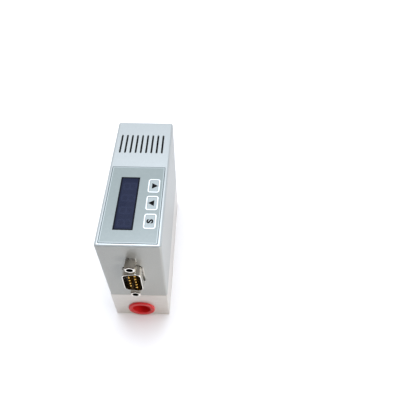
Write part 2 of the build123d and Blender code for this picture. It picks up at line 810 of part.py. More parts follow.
with BuildPart() as display_header:
    with BuildSketch(Plane.XY.offset(main_board_top - header_overlap)):
        with Locations((main_board_x, display_board_y)):
            Rectangle(header_size, header_length, align=(Align.MIN, Align.CENTER))
    extrude(amount=display_board_bottom - main_board_top + header_overlap)
    chamfer(display_header.edges().filter_by(Axis.Y).group_by(Axis.X)[-1].sort_by(Axis.Z)[0],
            edge_break)

# Parts on the main board's inner face: processor, amplifiers and two capacitor cans
chip_z = main_board_top - chip_drop - controller_size / 2
capacitor_y = sensor_y + sensor_cover_half + capacitor_gap + capacitor_radius
capacitor_z = main_board_top - capacitor_drop - capacitor_radius
amplifier_z = land_top + bracket_height + amplifier_rise + amplifier_length / 2
amplifier_y = main_board_rear_y - amplifier_end_gap - amplifier_width / 2
with BuildPart() as controller_chip:
    with BuildSketch(Plane.YZ.offset(main_board_x)):
        with Locations((sensor_y + controller_shift, chip_z)):
            Rectangle(controller_size, controller_size)
    extrude(amount=controller_thickness)
    chamfer(controller_chip.faces().sort_by(Axis.X)[-1].edges(), chip_chamfer)

with BuildPart() as amplifier_chips:
    with BuildSketch(Plane.YZ.offset(main_board_x)):
        with Locations((amplifier_y, amplifier_z), (amplifier_y - amplifier_pitch, amplifier_z)):
            Rectangle(amplifier_width, amplifier_length)
    extrude(amount=controller_thickness)
    chamfer(amplifier_chips.faces().group_by(Axis.X)[-1].edges(), chip_chamfer)

with BuildPart() as board_capacitors:
    with BuildSketch(Plane.YZ.offset(main_board_x)):
        with Locations((capacitor_y, capacitor_z), (capacitor_y, capacitor_z - capacitor_pitch)):
            Circle(capacitor_radius)
    extrude(amount=capacitor_length)
    fillet(board_capacitors.faces().group_by(Axis.X)[-1].edges(), edge_break)

# Board brackets: bent angles, upright against the board's inner face, foot under the board
for bracket_name, bracket_y in zip(("front", "rear"), bracket_places):
    with BuildPart() as board_bracket:
        with BuildSketch(facing_front(bracket_y - bracket_length / 2)):
            with BuildLine():
                Polyline((bracket_foot_x, land_top), (bracket_inner_x, land_top),
                         (bracket_inner_x, land_top + bracket_height),
                         (main_board_x, land_top + bracket_height),
                         (main_board_x, land_top + bracket_thickness),
                         (bracket_foot_x, land_top + bracket_thickness), close=True)
            make_face()
        extrude(amount=-bracket_length)
        bend = board_bracket.edges().filter_by(Axis.Y).group_by(Axis.X)[-1].sort_by(Axis.Z)[0]
        fillet(bend, bracket_thickness * 0.8)
        with BuildSketch(Plane.XY.offset(land_top)):
            with Locations((bracket_screw_x, bracket_y)):
                Circle(m2_radius + hole_clearance)
        extrude(amount=bracket_thickness, mode=Mode.SUBTRACT)
        with BuildSketch(Plane.YZ.offset(main_board_x)):
            with Locations((bracket_y, bracket_screw_z)):
                Circle(m2_radius)
        extrude(amount=bracket_thickness, mode=Mode.SUBTRACT)
    write(board_bracket.part, f"{bracket_name}_board_bracket")

with BuildPart() as bracket_screws:
    for bracket_y in bracket_places:
        foot_seat = Plane(origin=(bracket_screw_x, bracket_y, land_top + bracket_thickness))
        board_seat = Plane(origin=(main_board_x - board_thickness, bracket_y, bracket_screw_z),
                           z_dir=(-1, 0, 0))
        for seat in (foot_seat, board_seat):
            add(seat * pan_screw(m2_radius, m2_head_radius, m2_head_height, m2_length))

# Flow sensor: plate with seals below, capillary loop with two heaters, and a cover
with BuildPart() as sensor_base:
    with BuildSketch(Plane.XY.offset(land_top)):
        with Locations((0, sensor_y)):
            RectangleRounded(sensor_width, 2 * sensor_half_length, sensor_plate_corner)
        with Locations(*[(0, leg_y) for leg_y in leg_places]):
            Circle(capillary_radius + capillary_clearance, mode=Mode.SUBTRACT)
        with Locations(*[(0, y) for y in sensor_screw_places]):
            Circle(m25_radius + hole_clearance, mode=Mode.SUBTRACT)
    extrude(amount=sensor_plate)

with BuildPart() as sensor_capillary:
    with BuildLine() as capillary_path:
        FilletPolyline((0, leg_places[0], land_top), (0, leg_places[0], capillary_top),
                       (0, leg_places[1], capillary_top), (0, leg_places[1], land_top),
                       radius=capillary_bend)
    with BuildSketch(Plane.XY.offset(land_top)):
        with Locations((0, leg_places[0])):
            Circle(capillary_radius)
            Circle(capillary_bore, mode=Mode.SUBTRACT)
    sweep(path=capillary_path.line)

with BuildPart() as sensor_heaters:
    for side in (-1, 1):
        heater_start = sensor_y + side * (heater_gap + heater_length) / 2 - heater_length / 2
        with BuildSketch(facing_front(heater_start)):
            with Locations((0, capillary_top)):
                Circle(heater_radius)
                Circle(capillary_radius + capillary_clearance, mode=Mode.SUBTRACT)
        extrude(amount=-heater_length)

with BuildPart() as sensor_cover:
    with BuildSketch(Plane.XY.offset(sensor_top)):
        with Locations((0, sensor_y)):
            RectangleRounded(sensor_width, 2 * sensor_cover_half, sensor_cover_round)
    extrude(amount=sensor_cover_height)
    fillet(sensor_cover.faces().sort_by(Axis.Z)[-1].edges(), sensor_cover_round / 2)
    with BuildSketch(Plane.XY.offset(sensor_top)):
        with Locations((0, sensor_y)):
            Rectangle(sensor_width - 2 * sensor_cover_wall,
                      2 * (sensor_cover_half - sensor_cover_wall))
    extrude(amount=sensor_cover_height - sensor_cover_wall, mode=Mode.SUBTRACT)

with BuildPart() as sensor_seals:
    with Locations(*[(0, leg_y, land_top - seal_wire_radius) for leg_y in leg_places]):
        Torus(seal_mean_radius, seal_wire_radius)

with BuildPart() as sensor_screws:
    for screw_y in sensor_screw_places:
        add(Plane(origin=(0, screw_y, sensor_top))
            * pan_screw(m25_radius, m25_head_radius, m25_head_height, m25_length))

# Laminar flow element: grooved plug in the bypass bore, with a blind hole to draw it out
with BuildPart() as laminar_element:
    with BuildSketch(facing_front(sensor_y - element_length / 2)):
        with Locations((0, port_height)):
            Circle(bypass_radius - element_clearance)
            with PolarLocations(bypass_radius, groove_count):
                Rectangle(2 * groove_depth, groove_width, mode=Mode.SUBTRACT)
    extrude(amount=-element_length)
    with BuildSketch(facing_front(sensor_y - element_length / 2)):
        with Locations((0, port_height)):
            Circle(element_hole_radius)
    extrude(amount=-element_hole_depth, mode=Mode.SUBTRACT)

# Inlet screen on the step behind the front port, held by a split ring
with BuildPart() as inlet_screen:
    with BuildSketch(facing_front(bypass_front_y)):
        with Locations((0, port_height)):
            Circle(port_radius - seat_clearance)
            Circle(screen_hole_radius, mode=Mode.SUBTRACT)
            for ring, count in ((1, 6), (2, 12)):
                with PolarLocations(ring * screen_hole_pitch, count):
                    Circle(screen_hole_radius, mode=Mode.SUBTRACT)
    extrude(amount=screen_thickness)

with BuildPart() as retaining_ring:
    with BuildSketch(facing_front(bypass_front_y - screen_thickness)):
        with Locations((0, port_height)):
            Circle(port_radius - seat_clearance)
            Circle(port_radius - seat_clearance - ring_width, mode=Mode.SUBTRACT)
            with Locations((0, port_radius - ring_width / 2)):
                Rectangle(ring_gap, 3 * ring_width, mode=Mode.SUBTRACT)
    extrude(amount=ring_thickness)

# Port plug: soft tapered cup with a flange, pushed into the front port
with BuildPart() as port_plug:
    body_radius = port_radius - plug_clearance
    tip_radius = body_radius - plug_taper
    flange_front_y = front_y - plug_flange_thickness
    tip_y = front_y + plug_length
    with BuildSketch(Plane.YZ):
        with BuildLine():
            Polyline((flange_front_y, port_height + body_radius - plug_wall),
                     (flange_front_y, port_height + plug_flange_radius),
                     (front_y, port_height + plug_flange_radius),
                     (front_y, port_height + body_radius),
                     (tip_y, port_height + tip_radius),
                     (tip_y, port_height),
                     (tip_y - plug_wall, port_height),
                     (tip_y - plug_wall, port_height + tip_radius - plug_wall),
                     close=True)
        make_face()
    revolve(axis=Axis((0, 0, port_height), (0, 1, 0)))
    flange_edges = port_plug.edges().filter_by(GeomType.CIRCLE).group_by(Axis.Y)
    fillet(flange_edges[0].sort_by(SortBy.RADIUS)[-1], plug_edge_round)
    mouth_edges = port_plug.edges().filter_by(GeomType.CIRCLE).group_by(Axis.Y)[0]
    fillet(mouth_edges.sort_by(SortBy.RADIUS)[0], plug_mouth_round)

# Valve seat: turned insert with a raised rim round the orifice
with BuildPart() as valve_seat:
    with BuildSketch(Plane.YZ):
        with BuildLine():
            seat_outer = seat_radius - seat_clearance
            Polyline((valve_y + seat_relief_radius, chamber_floor - seat_depth),
                     (valve_y + seat_outer, chamber_floor - seat_depth),
                     (valve_y + seat_outer, chamber_floor + seat_rise / 2),
                     (valve_y + seat_rim_radius, seat_top),
                     (valve_y + orifice_radius, seat_top),
                     (valve_y + orifice_radius, chamber_floor),
                     (valve_y + seat_relief_radius, chamber_floor - seat_relief_radius / 2),
                     close=True)
        make_face()
    revolve(axis=Axis((0, valve_y, 0), (0, 0, 1)))

# Valve armature: fluted steel slug with a pad pocket below and a spring pocket above
with BuildPart() as valve_armature:
    with BuildSketch(Plane.XY.offset(armature_bottom)):
        with Locations((0, valve_y)):
            Circle(armature_radius)
            with PolarLocations(armature_radius, flute_count):
                Rectangle(2 * flute_depth, flute_width, mode=Mode.SUBTRACT)
    extrude(amount=armature_length)
    with BuildSketch(Plane.XY.offset(armature_bottom)):
        with Locations((0, valve_y)):
            Circle(pad_radius + seat_clearance)
    extrude(amount=pad_thickness - pad_proud, mode=Mode.SUBTRACT)
    with BuildSketch(Plane.XY.offset(armature_top)):
        with Locations((0, valve_y)):
            Circle(spring_pocket_radius)
    extrude(amount=-spring_pocket_depth, mode=Mode.SUBTRACT)

with BuildPart() as valve_pad:
    with BuildSketch(Plane.XY.offset(seat_top)):
        with Locations((0, valve_y)):
            Circle(pad_radius)
    extrude(amount=pad_thickness)

# Return spring between the armature's pocket and the fixed core
with BuildPart() as valve_spring:
    spring_height = core_bottom - spring_floor - 2 * (spring_wire_radius + spring_clearance)
    with BuildLine() as spring_path:
        Helix(spring_height / spring_turns, spring_height, spring_mean_radius,
              center=(0, valve_y, spring_floor + spring_wire_radius + spring_clearance))
    with BuildSketch(Plane(origin=spring_path.line @ 0, z_dir=spring_path.line % 0)):
        Circle(spring_wire_radius)
    sweep(path=spring_path.line, is_frenet=True)

# Guide tube: thin steel tube on a square flange, sealed and screwed on the land
with BuildPart() as guide_tube:
    with BuildSketch(Plane.XY.offset(land_top)):
        with Locations((0, valve_y)):
            RectangleRounded(valve_flange_width, valve_flange_length, valve_flange_corner)
    extrude(amount=valve_flange_thickness)
    with BuildSketch(Plane.XY.offset(land_top)):
        with Locations((0, valve_y)):
            Circle(guide_outer_radius)
    extrude(amount=coil_top - land_top)
    with BuildSketch(Plane.XY.offset(land_top)):
        with Locations((0, valve_y)):
            Circle(guide_radius)
    extrude(amount=coil_top - land_top, mode=Mode.SUBTRACT)
    with Locations(*[(x, y, yoke_bottom) for x, y in valve_screw_places]):
        CounterSinkHole(m25_radius + hole_clearance, sunk_head_radius,
                        valve_flange_thickness * 2, counter_sink_angle=90)

with BuildPart() as valve_screws:
    for place_x, place_y in valve_screw_places:
        add(Plane(origin=(place_x, place_y, yoke_bottom))
            * sunk_screw(m25_radius, sunk_head_radius, sunk_length))

with BuildPart() as valve_seal:
    with Locations((0, valve_y, land_top - valve_seal_wire)):
        Torus(valve_seal_radius, valve_seal_wire)

# Fixed core: closes the guide tube and carries the stud for the nut
with BuildPart() as fixed_core:
    with BuildSketch(Plane.XY.offset(core_bottom)):
        with Locations((0, valve_y)):
            Circle(guide_radius - element_clearance)
    extrude(amount=coil_top - core_bottom)
    with BuildSketch(Plane.XY.offset(coil_top)):
        with Locations((0, valve_y)):
            Circle(stud_radius)
    extrude(amount=stud_length)
    chamfer(fixed_core.edges().sort_by(Axis.Z)[-1], edge_break)
    with BuildSketch(Plane.XY.offset(coil_top + stud_length)):
        with Locations((0, valve_y)):
            Rectangle(2 * stud_radius, stud_slot_width)
    extrude(amount=-drive_depth, mode=Mode.SUBTRACT)

# Coil: flanged bobbin and its winding
with BuildPart() as coil_bobbin:
    barrel_radius = guide_outer_radius + armature_clearance + bobbin_wall
    with BuildSketch(Plane.XY.offset(coil_bottom)):
        with Locations((0, valve_y)):
            Circle(bobbin_flange_radius)
    extrude(amount=coil_height)
    with BuildSketch(Plane.XY.offset(coil_bottom + bobbin_flange)):
        with Locations((0, valve_y)):
            Circle(bobbin_flange_radius)
            Circle(barrel_radius, mode=Mode.SUBTRACT)
    extrude(amount=coil_height - 2 * bobbin_flange, mode=Mode.SUBTRACT)
    with BuildSketch(Plane.XY.offset(coil_bottom)):
        with Locations((0, valve_y)):
            Circle(guide_outer_radius + armature_clearance)
    extrude(amount=coil_height, mode=Mode.SUBTRACT)

with BuildPart() as coil_winding:
    with BuildSketch(Plane.XY.offset(coil_bottom + bobbin_flange)):
        with Locations((0, valve_y)):
            Circle(winding_radius)
            Circle(barrel_radius + element_clearance, mode=Mode.SUBTRACT)
    extrude(amount=coil_height - 2 * bobbin_flange)

# Yoke: bent steel frame round the coil, under the nut
with BuildPart() as coil_yoke:
    with BuildSketch(Plane.YZ.offset(-yoke_width / 2)):
        with Locations((valve_y, (yoke_bottom + yoke_top) / 2)):
            RectangleRounded(2 * yoke_half_length, yoke_top - yoke_bottom, yoke_thickness)
            Rectangle(2 * (yoke_half_length - yoke_thickness), coil_height, mode=Mode.SUBTRACT)
    extrude(amount=yoke_width)
    with BuildSketch(Plane.XY.offset(yoke_bottom)):
        with Locations((0, valve_y)):
            Circle(guide_outer_radius + armature_clearance)
    extrude(amount=yoke_thickness, mode=Mode.SUBTRACT)
    with BuildSketch(Plane.XY.offset(coil_top)):
        with Locations((0, valve_y)):
            Circle(stud_radius + hole_clearance)
    extrude(amount=yoke_thickness, mode=Mode.SUBTRACT)

with BuildPart() as valve_nut:
    with BuildSketch(Plane.XY.offset(yoke_top)):
        with Locations((0, valve_y)):
            RegularPolygon(nut_across_flats / 2, 6, major_radius=False)
            Circle(stud_radius + thread_clearance, mode=Mode.SUBTRACT)
    extrude(amount=nut_thickness)

write(flow_block.part, "flow_block")
write(cover.part, "cover")
write(cover_screws.part, "cover_screws")
write(keypad_overlay.part, "keypad_overlay")
write(display_window.part, "display_window")
write(display_module.part, "display_module")
write(display_board.part, "display_board")
write(display_screws.part, "display_screws")
write(connector_shell.part, "connector_shell")
write(connector_insulator.part, "connector_insulator")
write(connector_rear_shell.part, "connector_rear_shell")
write(connector_pins.part, "connector_pins")
write(jackscrews.part, "jackscrews")
write(jackscrew_washers.part, "jackscrew_washers")
write(jackscrew_nuts.part, "jackscrew_nuts")
write(connector_board.part, "connector_board")
write(main_board.part, "main_board")
write(connector_header.part, "connector_header")
write(display_header.part, "display_header")
write(controller_chip.part, "controller_chip")
write(amplifier_chips.part, "amplifier_chips")
write(board_capacitors.part, "board_capacitors")
write(bracket_screws.part, "bracket_screws")
write(sensor_base.part, "sensor_base")
write(sensor_capillary.part, "sensor_capillary")
write(sensor_heaters.part, "sensor_heaters")
write(sensor_cover.part, "sensor_cover")
write(sensor_seals.part, "sensor_seals")
write(sensor_screws.part, "sensor_screws")
write(laminar_element.part, "laminar_element")
write(inlet_screen.part, "inlet_screen")
write(retaining_ring.part, "retaining_ring")
write(port_plug.part, "port_plug")
write(valve_seat.part, "valve_seat")
write(valve_armature.part, "valve_armature")
write(valve_pad.part, "valve_pad")
write(valve_spring.part, "valve_spring")
write(guide_tube.part, "guide_tube")
write(valve_screws.part, "valve_screws")
write(valve_seal.part, "valve_seal")
write(fixed_core.part, "fixed_core")
write(coil_bobbin.part, "coil_bobbin")
write(coil_winding.part, "coil_winding")
write(coil_yoke.part, "coil_yoke")
write(valve_nut.part, "valve_nut")
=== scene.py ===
"""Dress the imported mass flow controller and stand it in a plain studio.

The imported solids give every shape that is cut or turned. This script gives them their
finishes, adds the prints, threads and small mouldings that lie on them, and places the
lights, the floor and the camera. Everything is in metres, in the frame of the solids.
"""

import logging
import math
from dataclasses import dataclass
from enum import Enum

import bmesh
import bpy
from mathutils import Matrix, Vector


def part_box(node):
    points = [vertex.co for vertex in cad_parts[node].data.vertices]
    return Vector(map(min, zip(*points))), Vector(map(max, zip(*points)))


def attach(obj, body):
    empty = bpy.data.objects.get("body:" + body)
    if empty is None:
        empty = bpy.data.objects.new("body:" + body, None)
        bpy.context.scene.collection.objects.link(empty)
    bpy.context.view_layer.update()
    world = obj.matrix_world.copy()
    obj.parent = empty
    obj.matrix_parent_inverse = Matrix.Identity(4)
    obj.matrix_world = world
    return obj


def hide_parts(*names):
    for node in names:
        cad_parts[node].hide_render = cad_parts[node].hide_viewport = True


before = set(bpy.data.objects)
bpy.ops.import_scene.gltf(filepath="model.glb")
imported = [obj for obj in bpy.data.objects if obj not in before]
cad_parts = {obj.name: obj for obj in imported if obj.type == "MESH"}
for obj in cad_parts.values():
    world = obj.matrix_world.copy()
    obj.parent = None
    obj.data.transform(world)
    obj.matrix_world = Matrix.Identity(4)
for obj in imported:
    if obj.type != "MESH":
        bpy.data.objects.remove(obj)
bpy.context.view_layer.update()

MM = 0.001
PHOTO_WIDTH = 400
SMOOTH_ANGLE = math.radians(35)
CORNER_STEPS = 8
# A thread's ridge: steps per turn, its foot as a share of the pitch, and how far the foot
# sinks into the wall as a share of its height
THREAD_STEPS = 40
RIDGE_FOOT = 0.8
RIDGE_SINK = 0.1
# Width of one band of the wave texture at scale 1
WAVE_BAND = 0.31
# The key rims stand this high above the film's top
RIM_HEIGHT = 0.12 * MM
FILM_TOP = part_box("keypad_overlay")[1].z - RIM_HEIGHT
log = logging.getLogger("controller")


def linear(code: str) -> tuple[float, float, float, float]:
    """Turn an sRGB hex colour into the linear values that a socket takes.

    Args:
        code: six hex digits with a leading hash.

    Returns:
        Linear red, green and blue, and full opacity.
    """
    channels = [int(code[i:i + 2], 16) / 255 for i in (1, 3, 5)]
    red, green, blue = [c / 12.92 if c <= 0.04045 else ((c + 0.055) / 1.055) ** 2.4
                        for c in channels]
    return red, green, blue, 1.0


def add_node(tree: bpy.types.NodeTree, kind: str, inputs: dict | None = None,
             **settings: object) -> bpy.types.Node:
    """Add a shader node, set its properties and fill or link its sockets.

    Args:
        tree: the node tree to add to.
        kind: the node's type name.
        inputs: socket name or number to a value, or to the output socket to link from.
        **settings: properties of the node itself.

    Returns:
        The new node.
    """
    node = tree.nodes.new(kind)
    for key, value in settings.items():
        setattr(node, key, value)
    for key, value in (inputs or {}).items():
        if isinstance(value, bpy.types.NodeSocket):
            tree.links.new(value, node.inputs[key])
        else:
            node.inputs[key].default_value = value
    return node


class Grain(Enum):
    """The direction in which a tool or a mould leaves its marks."""

    EVEN = (1.0, 1.0, 1.0)
    ALONG_X = (0.06, 1.0, 1.0)
    ALONG_Y = (1.0, 0.04, 1.0)
    ALONG_Z = (1.0, 1.0, 0.06)


@dataclass(frozen=True)
class Finish:
    """A surface finish: two tones that a fine pattern mixes, a roughness and a fine relief.

    The pattern's spacing is a real size in millimetres. Sizes under about 0.3 mm would
    vanish in the render, so those are drawn as coarse as they need to show.
    """

    name: str
    tone: str
    tone_two: str
    roughness: float
    metallic: float = 0.0
    ior: float = 1.5
    spacing_mm: float = 0.5
    grain: Grain = Grain.EVEN
    relief_mm: float = 0.01
    roughness_swing: float = 0.06

    def pattern(self, tree: bpy.types.NodeTree) -> bpy.types.NodeSocket:
        """Add the fine pattern that varies tone, roughness and relief.

        Args:
            tree: the material's node tree.

        Returns:
            The output that holds the pattern, from 0 to 1.
        """
        place = add_node(tree, "ShaderNodeTexCoord")
        turned = add_node(tree, "ShaderNodeMapping", {
            "Vector": place.outputs["Object"], "Scale": Vector(self.grain.value)})
        noise = add_node(tree, "ShaderNodeTexNoise", {
            "Vector": turned.outputs["Vector"], "Scale": 1 / (self.spacing_mm * MM),
            "Detail": 3.0, "Roughness": 0.6})
        return noise.outputs["Fac"]

    def colour(self, tree: bpy.types.NodeTree,
               pattern: bpy.types.NodeSocket) -> bpy.types.NodeSocket:
        """Mix the two tones by the pattern.

        Args:
            tree: the material's node tree.
            pattern: the pattern's output.

        Returns:
            The colour output.
        """
        ramp = add_node(tree, "ShaderNodeValToRGB", {"Fac": pattern})
        ramp.color_ramp.elements[0].position = 0.3
        ramp.color_ramp.elements[0].color = linear(self.tone)
        ramp.color_ramp.elements[1].position = 0.7
        ramp.color_ramp.elements[1].color = linear(self.tone_two)
        return ramp.outputs["Color"]

    def dress_shader(self, tree: bpy.types.NodeTree, shader: bpy.types.Node) -> None:
        """Set what is special to a finish on the shader; the plain finish sets nothing."""

    def material(self) -> bpy.types.Material:
        """Build the material, or return it if it has been built.

        Returns:
            The material with this finish's name.
        """
        if self.name in bpy.data.materials:
            return bpy.data.materials[self.name]
        material = bpy.data.materials.new(self.name)
        material.use_nodes = True
        material.diffuse_color = linear(self.tone)
        tree = material.node_tree
        tree.nodes.clear()
        pattern = self.pattern(tree)
        rough = add_node(tree, "ShaderNodeMapRange", {
            "Value": pattern, "To Min": max(self.roughness - self.roughness_swing, 0.02),
            "To Max": min(self.roughness + self.roughness_swing, 1.0)})
        relief = add_node(tree, "ShaderNodeBump", {
            "Height": pattern, "Strength": 0.5, "Distance": self.relief_mm * MM})
        shader = add_node(tree, "ShaderNodeBsdfPrincipled", {
            "Base Color": self.colour(tree, pattern), "Roughness": rough.outputs["Result"],
            "Metallic": self.metallic, "IOR": self.ior, "Normal": relief.outputs["Normal"]})
        self.dress_shader(tree, shader)
        add_node(tree, "ShaderNodeOutputMaterial", {"Surface": shader.outputs["BSDF"]})
        return material


@dataclass(frozen=True)
class SmokedAcrylic(Finish):
    """Cast acrylic dyed through: a dark clear sheet that lets the digits show faintly."""

    clearness: float = 0.45

    def dress_shader(self, tree: bpy.types.NodeTree, shader: bpy.types.Node) -> None:
        """Let part of the light through the sheet.

        Args:
            tree: the material's node tree.
            shader: the shader to set.
        """
        shader.inputs["Alpha"].default_value = 1 - self.clearness


@dataclass(frozen=True)
class SoftVinyl(Finish):
    """Dip-moulded vinyl: light goes a little way in, so the thin rims glow."""

    depth_mm: float = 1.2

    def dress_shader(self, tree: bpy.types.NodeTree, shader: bpy.types.Node) -> None:
        """Let light scatter under the surface.

        Args:
            tree: the material's node tree.
            shader: the shader to set.
        """
        shader.inputs["Subsurface Weight"].default_value = 0.25
        shader.inputs["Subsurface Radius"].default_value = (1.0, 0.25, 0.18)
        shader.inputs["Subsurface Scale"].default_value = self.depth_mm * MM


@dataclass(frozen=True)
class PrintedFilm(Finish):
    """Film printed from behind, with the embossed key rims in white.

    The rims are all that stands above the film's top, so their ink goes on by height.
    """

    rim_tone: str = "#F4F6F6"
    rim_from: float = FILM_TOP + 0.02 * MM

    def colour(self, tree: bpy.types.NodeTree,
               pattern: bpy.types.NodeSocket) -> bpy.types.NodeSocket:
        """Mix the film's tones and put the white on the rims.

        Args:
            tree: the material's node tree.
            pattern: the pattern's output.

        Returns:
            The colour output.
        """
        body = super().colour(tree, pattern)
        place = add_node(tree, "ShaderNodeTexCoord")
        parts = add_node(tree, "ShaderNodeSeparateXYZ", {"Vector": place.outputs["Object"]})
        above = add_node(tree, "ShaderNodeMath", {
            0: parts.outputs["Z"], 1: self.rim_from}, operation="GREATER_THAN")
        mix = add_node(tree, "ShaderNodeMix", {
            "Factor": above.outputs["Value"], 6: body, 7: linear(self.rim_tone)},
            data_type="RGBA")
        return mix.outputs[2]


@dataclass(frozen=True)
class WoundWire(Finish):
    """Enamelled wire in close layers: even turns side by side along one axis. The tones mixed
    along the turns paint a highlight on each turn and shade between turns.
    """

    turn_axis: str = "Z"
    wire_mm: float = 0.3

    def pattern(self, tree: bpy.types.NodeTree) -> bpy.types.NodeSocket:
        """Draw the turns as bands across the winding's axis: in the colour, a painted highlight
        on each turn and painted shade between turns.

        Args:
            tree: the material's node tree.

        Returns:
            The output that holds the bands, from 0 to 1.
        """
        place = add_node(tree, "ShaderNodeTexCoord")
        bands = add_node(tree, "ShaderNodeTexWave", {
            "Vector": place.outputs["Object"], "Scale": WAVE_BAND / (self.wire_mm * MM),
            "Distortion": 0.3}, bands_direction=self.turn_axis)
        return bands.outputs["Fac"]


@dataclass(frozen=True)
class CircuitLaminate(Finish):
    """Glass-epoxy board under solder mask, with the copper tracks as paler lines."""

    track_mm: float = 1.27

    def pattern(self, tree: bpy.types.NodeTree) -> bpy.types.NodeSocket:
        """Draw tracks as stepped blocks at the parts' pin spacing.

        Args:
            tree: the material's node tree.

        Returns:
            The output that holds the tracks, from 0 to 1.
        """
        place = add_node(tree, "ShaderNodeTexCoord")
        tracks = add_node(tree, "ShaderNodeTexVoronoi", {
            "Vector": place.outputs["Object"], "Scale": 1 / (self.track_mm * MM)},
            distance="MANHATTAN")
        return tracks.outputs["Distance"]


# Clear anodised aluminium, blasted before the bath: an even pale blue-grey with a soft
# sheen and no tool marks
CASE_ALUMINIUM = Finish("Anodised aluminium", "#C0C4C2", "#C6CAC8", 0.36, metallic=0.28,
                        spacing_mm=0.6, relief_mm=0.004, roughness_swing=0.04)
# Face-milled stainless steel: warmer than aluminium, with faint lines across the block
BLOCK_STEEL = Finish("Milled stainless steel", "#E6E4DF", "#EEECE8", 0.4, metallic=0.45,
                     spacing_mm=0.8, grain=Grain.ALONG_X, relief_mm=0.006)
# Turned and tumbled stainless screws: bright, with a soft edge to the reflections
SCREW_STEEL = Finish("Turned stainless steel", "#B9B7B2", "#C6C4C0", 0.28, metallic=1.0,
                     spacing_mm=0.4, relief_mm=0.004)
# Zinc-plated sheet: grey with a slight mottle from the bath
ZINC_SHEET = Finish("Zinc-plated sheet", "#A9ABAB", "#B9BCBE", 0.4, metallic=1.0,
                    spacing_mm=1.5, relief_mm=0.004)
# Black stoving paint on the coil's yoke: a real finish, chosen black so that it also paints the
# shade seen through the vents
YOKE_PAINT_AND_VENT_SHADE = Finish("Black stoving paint", "#131415", "#1A1B1C", 0.55, ior=1.5,
                    spacing_mm=0.8, relief_mm=0.01)
# Bright nickel on drawn steel: near mirror, warm grey in its reflections
NICKEL = Finish("Bright nickel plate", "#DDD8D0", "#E8E4DC", 0.14, metallic=1.0,
                spacing_mm=0.7, relief_mm=0.003, roughness_swing=0.04)
# Gold flash over nickel on the contacts: small warm glints
GOLD = Finish("Gold flash", "#D9A441", "#E8BC62", 0.24, metallic=1.0, spacing_mm=0.4,
              relief_mm=0.002)
# Glass-filled nylon: black with a fine dry texture from the mould
BLACK_NYLON = Finish("Glass-filled nylon", "#17181A", "#1F2022", 0.5, ior=1.53,
                     spacing_mm=0.4, relief_mm=0.01)
# Epoxy chip package: dark, ground by the mould to an even matt face
CHIP_EPOXY = Finish("Epoxy package", "#202124", "#292A2D", 0.62, ior=1.55,
                    spacing_mm=0.3, relief_mm=0.006)
# Acetal plungers: waxy ivory
IVORY_ACETAL = Finish("Acetal", "#CFCBBB", "#D8D4C6", 0.34, ior=1.48, spacing_mm=0.8)
# Nitrile seals: black with a thin grey bloom
NITRILE = Finish("Nitrile rubber", "#161616", "#212120", 0.7, ior=1.52, spacing_mm=0.5,
                 relief_mm=0.008)
# Drawn aluminium cans of the capacitors: light metal with fine lines along the draw
DRAWN_CAN = Finish("Drawn aluminium can", "#B4B6B8", "#C4C6C8", 0.3, metallic=1.0,
                   spacing_mm=0.6, grain=Grain.ALONG_X, relief_mm=0.004)
# Green solder mask over glass cloth: gloss, with the tracks a shade paler
BOARD = CircuitLaminate("Solder mask", "#15452B", "#1F5A38", 0.32, ior=1.54,
                        relief_mm=0.02)
# Enamelled copper: red-brown, with a painted highlight as a fine bright line on each turn and
# painted shade between turns
COIL_COPPER_AND_TURN_HIGHLIGHT = WoundWire("Enamelled copper wire", "#7E3C1E", "#B8642F", 0.34, metallic=1.0,
                        relief_mm=0.05, turn_axis="Z")
# The sensor's finer wire, with the same painted highlight on each turn and shade between turns
SENSOR_COPPER_AND_TURN_HIGHLIGHT = WoundWire("Enamelled sensor wire", "#7E3C1E", "#B8642F", 0.34,
                          metallic=1.0, relief_mm=0.03, turn_axis="Y", wire_mm=0.2)
# Polyester film printed grey from behind: satin front with a faint orange peel
FILM = PrintedFilm("Printed polyester film", "#929A97", "#969E9B", 0.26, ior=1.57,
                   spacing_mm=1.5, relief_mm=0.002, roughness_swing=0.02)
# Smoked acrylic over the display: deep navy, with a sharp reflection on top
PANE = SmokedAcrylic("Smoked acrylic", "#32384F", "#343A52", 0.08, ior=1.49,
                     spacing_mm=4.0, relief_mm=0.002, roughness_swing=0.02)
# Diffusers of the digits' segments, unlit: a milky grey that shows faintly
SEGMENT_EPOXY = Finish("Milky epoxy diffuser", "#5D627C", "#636884", 0.45, ior=1.52,
                       spacing_mm=0.6)
# Dyed epoxy face of the digits, flat navy grey
DIGIT_EPOXY = Finish("Dyed epoxy", "#30334A", "#34374F", 0.5, ior=1.52, spacing_mm=1.0)
# Red plug: soft vinyl with a satin skin
PLUG_VINYL = SoftVinyl("Soft red vinyl", "#F72A2C", "#FC3033", 0.4, ior=1.53,
                       spacing_mm=0.9, relief_mm=0.006)
# Black ink of the legends, under a gloss coat: the deepest black on the film
BLACK_INK = Finish("Black screen ink", "#0A0B0C", "#0F1011", 0.12, ior=1.5,
                   spacing_mm=0.3, relief_mm=0.001, roughness_swing=0.02)
# Pale grey line inside the film's edge: matt, and clearly lighter than the film
PALE_INK = Finish("Pale grey screen ink", "#BAC2C1", "#C2CAC9", 0.4, ior=1.5,
                  spacing_mm=0.4, relief_mm=0.003)
# Light grey fields of the keys: matt, so they stay even where the film shines
KEY_INK = Finish("Light grey key ink", "#A3AAA8", "#A9B0AE", 0.48, ior=1.5,
                 spacing_mm=0.4, relief_mm=0.003)
# Dark grey painted shade: thin dark lines that stand in for the shadow inside each embossed key
# rim and for the shadow of the gap round the film's edge
PAINTED_SHADE_INK = Finish("Dark grey painted shade ink", "#555C5D", "#5D6465", 0.3, ior=1.5,
                   spacing_mm=0.3, relief_mm=0.003)
